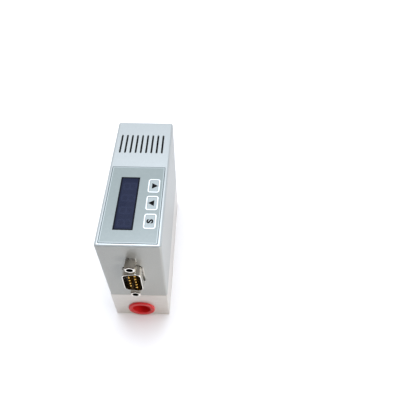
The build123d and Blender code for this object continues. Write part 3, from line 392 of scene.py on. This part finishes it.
# Near-black frame printed round the pane: about as glossy as the pane, so both read as one
BORDER_INK = Finish("Window border ink", "#151821", "#191C26", 0.1, ior=1.5,
                    spacing_mm=0.4, relief_mm=0.001, roughness_swing=0.02)


def dress(node: str, finish: Finish) -> None:
    """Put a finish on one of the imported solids.

    Args:
        node: the solid's name.
        finish: the finish to give it.
    """
    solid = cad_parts[node]
    for slot in solid.material_slots:
        slot.material = finish.material()
    log.info("%s dressed in %s", node, finish.name.lower())


def piece_from(mesh: bmesh.types.BMesh, name: str, finish: Finish, body: str) -> bpy.types.Object:
    """Turn a bmesh into a finished piece that rides on a body.

    Args:
        mesh: the shape, in place and in metres. It is freed here.
        name: the piece's name.
        finish: the finish to give it.
        body: the body that it moves with.

    Returns:
        The new object.
    """
    bmesh.ops.remove_doubles(mesh, verts=mesh.verts, dist=1e-7)
    bmesh.ops.recalc_face_normals(mesh, faces=mesh.faces)
    for face in mesh.faces:
        face.smooth = True
    for edge in mesh.edges:
        if len(edge.link_faces) == 2:
            edge.smooth = edge.calc_face_angle() < SMOOTH_ANGLE
    data = bpy.data.meshes.new(name)
    mesh.to_mesh(data)
    mesh.free()
    data.materials.append(finish.material())
    piece = bpy.data.objects.new(name, data)
    bpy.context.scene.collection.objects.link(piece)
    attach(piece, body)
    log.info("%s built, %d faces", name, len(data.polygons))
    return piece


def rounded_plate(width: float, length: float, corner: float, thickness: float,
                  centre: Vector, hole_margin: float = 0.0) -> bmesh.types.BMesh:
    """Make a thin rounded rectangle, or a frame of one, lying flat.

    Args:
        width: size along X.
        length: size along Y.
        corner: radius of the outer corners.
        thickness: height above the centre's place.
        centre: the middle of the underside.
        hole_margin: width of the frame, or 0 for a full plate.

    Returns:
        A closed bmesh.
    """
    mesh = bmesh.new()
    bmesh.ops.create_grid(mesh, x_segments=1, y_segments=1, size=0.5)
    bmesh.ops.scale(mesh, vec=(width, length, 1), verts=mesh.verts)
    bmesh.ops.bevel(mesh, geom=mesh.verts[:], offset=corner, offset_type="OFFSET",
                    segments=CORNER_STEPS, profile=0.5, affect="VERTICES", material=-1)
    if hole_margin > 0:
        inner = bmesh.ops.inset_region(mesh, faces=mesh.faces[:], thickness=hole_margin,
                                       use_even_offset=True, use_boundary=True)
        ring = set(inner["faces"])
        middle = [face for face in mesh.faces if face not in ring]
        bmesh.ops.delete(mesh, geom=middle, context="FACES")
    top = bmesh.ops.extrude_face_region(mesh, geom=mesh.faces[:])
    lifted = [item for item in top["geom"] if isinstance(item, bmesh.types.BMVert)]
    bmesh.ops.translate(mesh, vec=(0, 0, thickness), verts=lifted)
    bmesh.ops.translate(mesh, vec=centre, verts=mesh.verts)
    return mesh


def thread_ridge(radius: float, height: float, pitch: float, turns: float,
                 start: Vector, towards: Vector) -> bmesh.types.BMesh:
    """Make the helical ridge of an internal thread by turning a small triangle.

    Args:
        radius: radius of the wall that the ridge stands on.
        height: how far the ridge stands in from the wall.
        pitch: travel per turn.
        turns: number of turns.
        start: middle of the hole where the thread starts.
        towards: unit vector into the hole.

    Returns:
        A closed bmesh.
    """
    mesh = bmesh.new()
    side = towards.orthogonal().normalized()
    foot = start + side * (radius + height * RIDGE_SINK)
    crest = start + side * (radius - height) + towards * pitch * RIDGE_FOOT / 2
    corners = [mesh.verts.new(foot), mesh.verts.new(foot + towards * pitch * RIDGE_FOOT),
               mesh.verts.new(crest)]
    profile = mesh.faces.new(corners)
    bmesh.ops.spin(mesh, geom=[profile] + profile.edges[:] + profile.verts[:], cent=start,
                   axis=towards, dvec=towards * pitch / THREAD_STEPS,
                   angle=turns * 2 * math.pi, steps=int(turns * THREAD_STEPS),
                   use_duplicate=False)
    open_end = [edge for edge in mesh.edges if edge.is_boundary]
    if open_end:
        bmesh.ops.holes_fill(mesh, edges=open_end, sides=3)
    return mesh


def ring_stack(rings: tuple[tuple[int, float, float], ...]) -> bmesh.types.BMesh:
    """Skin a row of rings that share the Z axis, and close both ends.

    Args:
        rings: sides, radius and depth below the origin of each ring, in order.

    Returns:
        A closed bmesh.
    """
    mesh = bmesh.new()
    loops = []
    for sides, radius, depth in rings:
        made = bmesh.ops.create_circle(mesh, cap_ends=False, segments=sides, radius=radius,
                                       matrix=Matrix.Translation((0, 0, -depth)))
        loops.append(list({edge for vert in made["verts"] for edge in vert.link_edges}))
    for first, second in zip(loops, loops[1:]):
        bmesh.ops.bridge_loops(mesh, edges=first + second)
    for end in (loops[0], loops[-1]):
        bmesh.ops.holes_fill(mesh, edges=end, sides=0)
    return mesh


@dataclass
class Casing:
    """The flow block, the cover over it and the cover's screws."""

    port_radius: float = 5.9 * MM
    thread_height: float = 0.35 * MM
    thread_pitch: float = 1.337 * MM
    thread_turns: float = 7.0
    port_height: float = 8.0 * MM
    port_chamfer: float = 0.7 * MM

    def dress(self) -> None:
        """Give block, cover and screws their metals."""
        dress("flow_block", BLOCK_STEEL)
        dress("cover", CASE_ALUMINIUM)
        dress("cover_screws", SCREW_STEEL)

    def build_outlet_thread(self) -> None:
        """Add the outlet's pipe thread, as a ridge that stands in the hole."""
        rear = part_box("flow_block")[1].y
        start = Vector((0, rear - self.port_chamfer, self.port_height))
        mesh = thread_ridge(self.port_radius, self.thread_height, self.thread_pitch,
                            self.thread_turns, start, Vector((0, -1, 0)))
        piece_from(mesh, "outlet_thread", BLOCK_STEEL, "controller")

    def build(self) -> None:
        """Build and dress the whole casing."""
        self.dress()
        self.build_outlet_thread()


class Legend(Enum):
    """What is printed on a key, with the way it points along X."""

    LETTER = 0
    TOWARDS_LEFT = -1
    TOWARDS_RIGHT = 1


@dataclass
class TopPanel:
    """The printed film with its window, keys, display and their boards.

    The inks lie in layers one print_thickness high: fields, then lines, then legends. The dark
    lines inside the key rims and on the film's edge are painted shade.
    """

    print_thickness: float = 0.012 * MM
    line_layers: int = 2
    legend_layers: int = 3
    rim_width: float = 5.7 * MM
    rim_length: float = 8.35 * MM
    rim_corner: float = 1.2 * MM
    rim_stroke: float = 0.6 * MM
    # Width of the painted shade line inside each key rim
    rim_shade_width: float = 0.16 * MM
    arrow_base: float = 3.5 * MM
    arrow_height: float = 2.9 * MM
    letter_height: float = 2.8 * MM
    letter_boldness: float = 0.19 * MM
    letter_widening: float = 1.2
    capital_share: float = 0.7
    # Width of the painted shade line on the film's edge
    edge_shade_width: float = 0.28 * MM
    edge_corner: float = 0.5 * MM
    pale_line: float = 0.25 * MM
    pale_inset: float = 0.45 * MM
    pale_corner: float = 0.3 * MM
    window_border: float = 0.75 * MM
    window_corner: float = 0.2 * MM
    digit_count: int = 4
    digit_pitch: float = 7.3 * MM
    segment_x: float = 3.1 * MM
    segment_y: float = 1.8 * MM
    segment_width: float = 0.8 * MM
    segment_depth: float = 0.15 * MM
    segment_fill: float = 0.9
    segment_fit: float = 0.97
    bar_length: float = 3.45 * MM
    upright_length: float = 2.55 * MM

    def __post_init__(self) -> None:
        """Read the film's and the pane's places from the solids."""
        self.film_low, self.film_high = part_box("keypad_overlay")
        self.pane_low, self.pane_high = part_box("display_window")

    def key_centre(self, key: str) -> Vector:
        """Find the middle of a key on the film's top.

        Args:
            key: the key's name.

        Returns:
            The point above the key's plunger.
        """
        low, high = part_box(f"{key}_key_plunger")
        return Vector(((low.x + high.x) / 2, (low.y + high.y) / 2, FILM_TOP))

    def build_key_print(self, key: str, legend: Legend) -> None:
        """Print a key's field and its legend, and paint the shade inside its rim as a dark line.

        Args:
            key: the key's name.
            legend: what is printed on it.
        """
        centre = self.key_centre(key)
        width = self.rim_width - 2 * self.rim_stroke
        length = self.rim_length - 2 * self.rim_stroke
        corner = self.rim_corner - self.rim_stroke
        field = rounded_plate(width, length, corner, self.print_thickness, centre)
        piece_from(field, f"{key}_key_field", KEY_INK, "controller")
        # Painted shade: this dark line inside the rim stands in for the shadow of the embossed
        # rim
        line = rounded_plate(width, length, corner,
                             self.print_thickness * self.line_layers, centre,
                             hole_margin=self.rim_shade_width)
        piece_from(line, f"{key}_key_rim_shade_line", PAINTED_SHADE_INK, "controller")
        if legend is Legend.LETTER:
            self.build_letter(key, centre)
        else:
            self.build_arrow(key, centre, legend)

    def build_arrow(self, key: str, centre: Vector, legend: Legend) -> None:
        """Print a solid triangle on a key.

        Args:
            key: the key's name.
            centre: the key's middle on the film.
            legend: the way the triangle points.
        """
        mesh = bmesh.new()
        bmesh.ops.create_circle(mesh, cap_ends=True, segments=3,
                                radius=self.arrow_base / math.sqrt(3))
        tall = self.arrow_base * math.sqrt(3) / 2
        turn = Matrix.Rotation(-legend.value * math.pi / 2, 4, "Z")
        bmesh.ops.scale(mesh, vec=(1, self.arrow_height / tall, 1), verts=mesh.verts)
        bmesh.ops.rotate(mesh, matrix=turn.to_3x3(), verts=mesh.verts)
        top = bmesh.ops.extrude_face_region(mesh, geom=mesh.faces[:])
        lifted = [item for item in top["geom"] if isinstance(item, bmesh.types.BMVert)]
        bmesh.ops.translate(mesh, verts=lifted,
                            vec=(0, 0, self.print_thickness * self.legend_layers))
        bmesh.ops.translate(mesh, vec=centre, verts=mesh.verts)
        piece_from(mesh, f"{key}_key_arrow", BLACK_INK, "controller")

    def build_letter(self, key: str, centre: Vector) -> None:
        """Print the letter of the set key, its top towards the left side.

        Args:
            key: the key's name.
            centre: the key's middle on the film.
        """
        curve = bpy.data.curves.new(f"{key}_letter_curve", "FONT")
        curve.body = "S"
        curve.align_x = "CENTER"
        curve.size = self.letter_height / self.capital_share
        curve.offset = self.letter_boldness
        curve.extrude = self.print_thickness * self.legend_layers / 2
        holder = bpy.data.objects.new(f"{key}_letter_holder", curve)
        bpy.context.scene.collection.objects.link(holder)
        bpy.context.view_layer.update()
        data = bpy.data.meshes.new_from_object(
            holder.evaluated_get(bpy.context.evaluated_depsgraph_get()))
        bpy.data.objects.remove(holder)
        mesh = bmesh.new()
        mesh.from_mesh(data)
        bpy.data.meshes.remove(data)
        low = Vector([min(vert.co[i] for vert in mesh.verts) for i in range(3)])
        high = Vector([max(vert.co[i] for vert in mesh.verts) for i in range(3)])
        middle = Vector(((low.x + high.x) / 2, (low.y + high.y) / 2, low.z))
        bmesh.ops.translate(mesh, vec=-middle, verts=mesh.verts)
        bmesh.ops.scale(mesh, vec=(self.letter_widening, 1, 1), verts=mesh.verts)
        turn = Matrix.Rotation(math.pi / 2, 3, "Z")
        bmesh.ops.rotate(mesh, matrix=turn, verts=mesh.verts)
        bmesh.ops.translate(mesh, vec=centre, verts=mesh.verts)
        piece_from(mesh, f"{key}_key_letter", BLACK_INK, "controller")

    def build_film_edge_shade_and_pale_line(self) -> None:
        """Paint the shade of the gap round the film as a dark line on its edge, and print the
        pale line inside it.
        """
        middle = (self.film_low + self.film_high) / 2
        middle.z = FILM_TOP
        width = self.film_high.x - self.film_low.x
        length = self.film_high.y - self.film_low.y
        # Painted shade: this dark edge line stands in for the shadow of the gap round the film
        edge = rounded_plate(width, length, self.edge_corner, self.print_thickness,
                             middle, hole_margin=self.edge_shade_width)
        piece_from(edge, "film_edge_shade_line", PAINTED_SHADE_INK, "controller")
        pale = rounded_plate(width - 2 * self.pale_inset, length - 2 * self.pale_inset,
                             self.pale_corner, self.print_thickness, middle,
                             hole_margin=self.pale_line)
        piece_from(pale, "film_pale_line", PALE_INK, "controller")

    def build_window_border(self) -> None:
        """Print the dark border round the pane's edge."""
        middle = (self.pane_low + self.pane_high) / 2
        middle.z = self.pane_high.z
        border = rounded_plate(self.pane_high.x - self.pane_low.x,
                               self.pane_high.y - self.pane_low.y, self.window_corner,
                               self.print_thickness * self.line_layers, middle,
                               hole_margin=self.window_border)
        piece_from(border, "window_border", BORDER_INK, "controller")

    def build_segments(self) -> None:
        """Cast the diffusers in the module's recesses, seven to each digit."""
        low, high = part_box("display_module")
        centre = (low + high) / 2
        depth = self.segment_depth * self.segment_fill
        bars = [(x * self.segment_x, 0.0, self.segment_width, self.bar_length)
                for x in (-1, 0, 1)]
        bars += [(x * self.segment_x / 2, y * self.segment_y, self.upright_length,
                  self.segment_width) for x in (-1, 1) for y in (-1, 1)]
        mesh = bmesh.new()
        for digit in range(self.digit_count):
            along = centre.y + (digit - (self.digit_count - 1) / 2) * self.digit_pitch
            for x, y, size_x, size_y in bars:
                place = Matrix.Translation((centre.x + x, along + y,
                                            high.z - self.segment_depth + depth / 2))
                size = Matrix.Diagonal((size_x, size_y, depth, 1))
                bmesh.ops.create_cube(mesh, size=self.segment_fit, matrix=place @ size)
        piece_from(mesh, "digit_segments", SEGMENT_EPOXY, "controller")

    def build(self) -> None:
        """Build the prints and dress the panel's solids."""
        self.build_segments()
        dress("keypad_overlay", FILM)
        dress("display_window", PANE)
        dress("display_module", DIGIT_EPOXY)
        dress("display_board", BOARD)
        dress("display_screws", SCREW_STEEL)
        for key in ("set", "up", "down"):
            dress(f"{key}_switch_body", BLACK_NYLON)
            dress(f"{key}_key_plunger", IVORY_ACETAL)
        self.build_film_edge_shade_and_pale_line()
        self.build_window_border()
        self.build_key_print("set", Legend.LETTER)
        self.build_key_print("up", Legend.TOWARDS_LEFT)
        self.build_key_print("down", Legend.TOWARDS_RIGHT)


@dataclass
class SignalConnector:
    """The nine-pin connector with its jackscrews and the board behind it."""

    bore_radius: float = 1.13 * MM
    bore_depth: float = 4.0 * MM
    mouth_radius: float = 1.6 * MM
    across_flats: float = 4.76 * MM
    post_length: float = 4.2 * MM
    post_chamfer: float = 0.35 * MM
    shank_radius: float = 1.4 * MM
    spacing: float = 24.99 * MM
    thread_height: float = 0.16 * MM
    thread_pitch: float = 0.635 * MM
    round_sides: int = 24
    hexagon_sides: int = 6

    def build_jackscrews(self) -> None:
        """Turn both jackscrews with the countersink that leads into their thread."""
        low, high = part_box("jackscrews")
        corner = self.across_flats / math.sqrt(3)
        lead_in = self.mouth_radius - self.bore_radius
        turned, hexagon = self.round_sides, self.hexagon_sides
        rings = ((turned, self.bore_radius, self.bore_depth),
                 (turned, self.bore_radius, lead_in),
                 (turned, self.mouth_radius, 0.0),
                 (hexagon, corner - self.post_chamfer * 2 / math.sqrt(3), 0.0),
                 (hexagon, corner, self.post_chamfer),
                 (hexagon, corner, self.post_length),
                 (turned, self.shank_radius, self.post_length),
                 (turned, self.shank_radius, high.y - low.y))
        mesh = ring_stack(rings)
        turn = Matrix.Rotation(math.pi / 2, 3, "X")
        bmesh.ops.rotate(mesh, matrix=turn, verts=mesh.verts)
        top = Vector(((low.x + high.x) / 2, low.y, (low.z + high.z + self.spacing) / 2))
        bmesh.ops.translate(mesh, vec=top, verts=mesh.verts)
        first = mesh.verts[:] + mesh.edges[:] + mesh.faces[:]
        second = bmesh.ops.duplicate(mesh, geom=first)
        moved = [item for item in second["geom"] if isinstance(item, bmesh.types.BMVert)]
        bmesh.ops.translate(mesh, vec=(0, 0, -self.spacing), verts=moved)
        piece = piece_from(mesh, "countersunk_jackscrews", NICKEL, "controller")
        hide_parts("jackscrews")

    def build_jackscrew_threads(self) -> None:
        """Add the thread inside each jackscrew, as a ridge that stands in the hole."""
        low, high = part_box("jackscrews")
        lead_in = self.mouth_radius - self.bore_radius
        middle = Vector(((low.x + high.x) / 2, low.y + lead_in, (low.z + high.z) / 2))
        turns = math.floor((self.bore_depth - lead_in) / self.thread_pitch) - 1
        for name, side in (("upper", 1), ("lower", -1)):
            start = middle + Vector((0, 0, side * self.spacing / 2))
            mesh = thread_ridge(self.bore_radius, self.thread_height, self.thread_pitch,
                                turns, start, Vector((0, 1, 0)))
            piece_from(mesh, f"{name}_jackscrew_thread", NICKEL, "controller")

    def build(self) -> None:
        """Dress the connector's solids and thread the jackscrews."""
        for node in ("connector_shell", "connector_rear_shell", "jackscrews"):
            dress(node, NICKEL)
        dress("connector_insulator", BLACK_NYLON)
        dress("connector_pins", GOLD)
        for node in ("jackscrew_washers", "jackscrew_nuts"):
            dress(node, SCREW_STEEL)
        dress("connector_board", BOARD)
        self.build_jackscrews()
        self.build_jackscrew_threads()


@dataclass
class InletPlug:
    """The soft red plug in the inlet port, with the mark of its gate."""

    nub_radius: float = 0.9 * MM
    nub_height: float = 0.35 * MM
    nub_taper: float = 0.8
    nub_round: float = 0.4
    nub_seat: float = 0.45
    wall: float = 0.9 * MM

    def build_gate_mark(self) -> None:
        """Mould the small round nub in the middle of the recess."""
        low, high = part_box("port_plug")
        mesh = bmesh.new()
        bmesh.ops.create_cone(mesh, cap_ends=True, segments=32, radius1=self.nub_radius,
                              radius2=self.nub_radius * self.nub_taper,
                              depth=self.nub_height)
        top = [edge for edge in mesh.edges if all(vert.co.z > 0 for vert in edge.verts)]
        bmesh.ops.bevel(mesh, geom=top, offset=self.nub_height * self.nub_round,
                        offset_type="OFFSET", segments=3, profile=0.5, affect="EDGES",
                        material=-1)
        turn = Matrix.Rotation(math.pi / 2, 3, "X")
        bmesh.ops.rotate(mesh, matrix=turn, verts=mesh.verts)
        floor_y = high.y - self.wall
        place = Vector(((low.x + high.x) / 2, floor_y - self.nub_height * self.nub_seat,
                        (low.z + high.z) / 2))
        bmesh.ops.translate(mesh, vec=place, verts=mesh.verts)
        piece_from(mesh, "plug_gate_mark", PLUG_VINYL, "controller")

    def build(self) -> None:
        """Dress the plug and mould its gate mark."""
        dress("port_plug", PLUG_VINYL)
        self.build_gate_mark()


class Inside(Enum):
    """The pieces under the cover, by finish."""

    BOARD = ("main_board",)
    NYLON = ("connector_header", "display_header", "coil_bobbin")
    EPOXY = ("controller_chip", "amplifier_chips")
    CANS = ("board_capacitors",)
    ZINC = ("front_board_bracket", "rear_board_bracket")
    # The yoke's black paint also stands in for the shade seen through the vents
    PAINTED = ("coil_yoke",)
    TURNED = ("bracket_screws", "sensor_screws", "sensor_capillary", "inlet_screen",
              "retaining_ring", "valve_armature", "valve_spring", "valve_screws",
              "fixed_core", "valve_nut")
    MILLED = ("sensor_base", "laminar_element", "valve_seat", "guide_tube")
    CASE = ("sensor_cover",)
    RUBBER = ("sensor_seals", "valve_seal", "valve_pad")
    COIL = ("coil_winding",)
    HEATERS = ("sensor_heaters",)


@dataclass
class Works:
    """The electronics, the flow sensor and the valve under the cover."""

    def build(self) -> None:
        """Dress every piece inside by its group."""
        finishes = {Inside.BOARD: BOARD, Inside.NYLON: BLACK_NYLON,
                    Inside.EPOXY: CHIP_EPOXY, Inside.CANS: DRAWN_CAN,
                    Inside.ZINC: ZINC_SHEET, Inside.PAINTED: YOKE_PAINT_AND_VENT_SHADE,
                    Inside.TURNED: SCREW_STEEL,
                    Inside.MILLED: BLOCK_STEEL, Inside.CASE: CASE_ALUMINIUM,
                    Inside.RUBBER: NITRILE, Inside.COIL: COIL_COPPER_AND_TURN_HIGHLIGHT,
                    Inside.HEATERS: SENSOR_COPPER_AND_TURN_HIGHLIGHT}
        for group, finish in finishes.items():
            for node in group.value:
                dress(node, finish)


@dataclass(frozen=True)
class Softbox:
    """A rectangular soft light that faces the controller."""

    name: str
    place: tuple[float, float, float]
    size: tuple[float, float]
    watts: float
    tone: str
    aim_height: float = 40 * MM

    def hang(self) -> None:
        """Hang the light and turn it to the controller's middle."""
        lamp = bpy.data.lights.new(self.name, "AREA")
        lamp.shape = "RECTANGLE"
        lamp.size, lamp.size_y = self.size
        lamp.energy = self.watts
        lamp.color = linear(self.tone)[:3]
        holder = bpy.data.objects.new(self.name, lamp)
        holder.location = self.place
        aim = Vector((0, 0, self.aim_height)) - Vector(self.place)
        holder.rotation_euler = aim.to_track_quat("-Z", "Y").to_euler()
        bpy.context.scene.collection.objects.link(holder)


# The main light, cool and high over the rear
TOP_SOFTBOX = Softbox("top_softbox", (-0.02, 0.12, 0.9), (0.6, 0.6), 11.6, "#EAF3FF")
# A small warm card, low at the front right
RIGHT_SOFTBOX = Softbox("right_softbox", (0.11, -0.15, 0.022), (0.07, 0.03), 0.07,
                        "#FFF4EA")
# A wide soft light from the right
SIDE_SOFTBOX = Softbox("side_softbox", (0.6, 0.05, 0.35), (0.9, 0.9), 1.0, "#EEF4FF")
# A long thin strip, high in front
EDGE_STRIP = Softbox("edge_strip", (0.02, -0.62, 0.55), (0.6, 0.04), 0.08, "#FFFFFF")


@dataclass
class Studio:
    """The floor, the soft lights and the camera that matches the photograph."""

    floor_size: float = 6.0
    floor_tone: str = "#F4F3F1"
    bounce_tone: str = "#958C84"
    glow_tone: str = "#FFEEE8"
    glow: float = 0.15
    world_strength: float = 0.12
    world_tone: str = "#FFF0E4"
    camera_place: tuple[float, float, float] = (0.03326364, -0.13605735, 0.23260341)
    camera_pitch: float = 0.88261
    camera_yaw: float = -0.02774
    focal_px: float = 423.13282
    centre_px: tuple[float, float] = (196.99955, 185.74374)
    sensor: float = 36.0

    def build_floor(self) -> None:
        """Lay a plain pale floor that looks white and keeps the soft shadow."""
        mesh = bmesh.new()
        bmesh.ops.create_grid(mesh, x_segments=1, y_segments=1, size=self.floor_size / 2)
        data = bpy.data.meshes.new("studio_floor")
        mesh.to_mesh(data)
        mesh.free()
        material = bpy.data.materials.new("Studio paper")
        material.use_nodes = True
        tree = material.node_tree
        tree.nodes.clear()
        seen = add_node(tree, "ShaderNodeLightPath")
        bright = add_node(tree, "ShaderNodeMath", {
            0: seen.outputs["Is Camera Ray"], 1: seen.outputs["Is Glossy Ray"]},
            operation="MAXIMUM")
        paper = add_node(tree, "ShaderNodeBsdfDiffuse", {"Color": linear(self.floor_tone)})
        bounce = add_node(tree, "ShaderNodeBsdfDiffuse", {
            "Color": linear(self.bounce_tone)})
        glow = add_node(tree, "ShaderNodeEmission", {
            "Color": linear(self.glow_tone), "Strength": self.glow})
        both = add_node(tree, "ShaderNodeAddShader", {
            0: paper.outputs["BSDF"], 1: glow.outputs["Emission"]})
        mix = add_node(tree, "ShaderNodeMixShader", {
            "Fac": bright.outputs["Value"], 1: bounce.outputs["BSDF"],
            2: both.outputs["Shader"]})
        add_node(tree, "ShaderNodeOutputMaterial", {"Surface": mix.outputs["Shader"]})
        data.materials.append(material)
        floor = bpy.data.objects.new("studio_floor", data)
        bpy.context.scene.collection.objects.link(floor)

    def build_world(self) -> None:
        """Fill the room with even light, seen as white."""
        world = bpy.data.worlds.new("Studio room")
        world.use_nodes = True
        tree = world.node_tree
        tree.nodes.clear()
        seen = add_node(tree, "ShaderNodeLightPath")
        strength = add_node(tree, "ShaderNodeMapRange", {
            "Value": seen.outputs["Is Camera Ray"], "To Min": self.world_strength,
            "To Max": 1.0})
        tone = add_node(tree, "ShaderNodeMix", {
            "Factor": seen.outputs["Is Camera Ray"], 6: linear(self.world_tone),
            7: linear("#FFFFFF")}, data_type="RGBA")
        room = add_node(tree, "ShaderNodeBackground", {
            "Color": tone.outputs[2], "Strength": strength.outputs["Result"]})
        add_node(tree, "ShaderNodeOutputWorld", {"Surface": room.outputs["Background"]})
        bpy.context.scene.world = world

    def build_camera(self) -> None:
        """Place the camera where the photograph was taken from."""
        lens = bpy.data.cameras.new("photo_camera")
        lens.sensor_width = self.sensor
        lens.lens = self.focal_px * self.sensor / PHOTO_WIDTH
        lens.shift_x = (PHOTO_WIDTH / 2 - self.centre_px[0]) / PHOTO_WIDTH
        lens.shift_y = (self.centre_px[1] - PHOTO_WIDTH / 2) / PHOTO_WIDTH
        lens.clip_start = 0.01
        camera = bpy.data.objects.new("photo_camera", lens)
        camera.location = self.camera_place
        camera.rotation_euler = (math.pi / 2 - self.camera_pitch, 0, -self.camera_yaw)
        bpy.context.scene.collection.objects.link(camera)
        bpy.context.scene.camera = camera

    def build(self) -> None:
        """Build floor, room, lights and camera."""
        self.build_floor()
        self.build_world()
        for softbox in (TOP_SOFTBOX, RIGHT_SOFTBOX, SIDE_SOFTBOX, EDGE_STRIP):
            softbox.hang()
        self.build_camera()
        bpy.context.scene.view_settings.view_transform = "Standard"


def main() -> None:
    """Build and dress the controller part by part, then the studio round it."""
    logging.basicConfig(level=logging.INFO, format="%(name)s: %(message)s")
    for assembly in (Casing(), TopPanel(), SignalConnector(), InletPlug(), Works(),
                     Studio()):
        assembly.build()
        log.info("%s done", type(assembly).__name__)


if __name__ == "__main__":
    main()
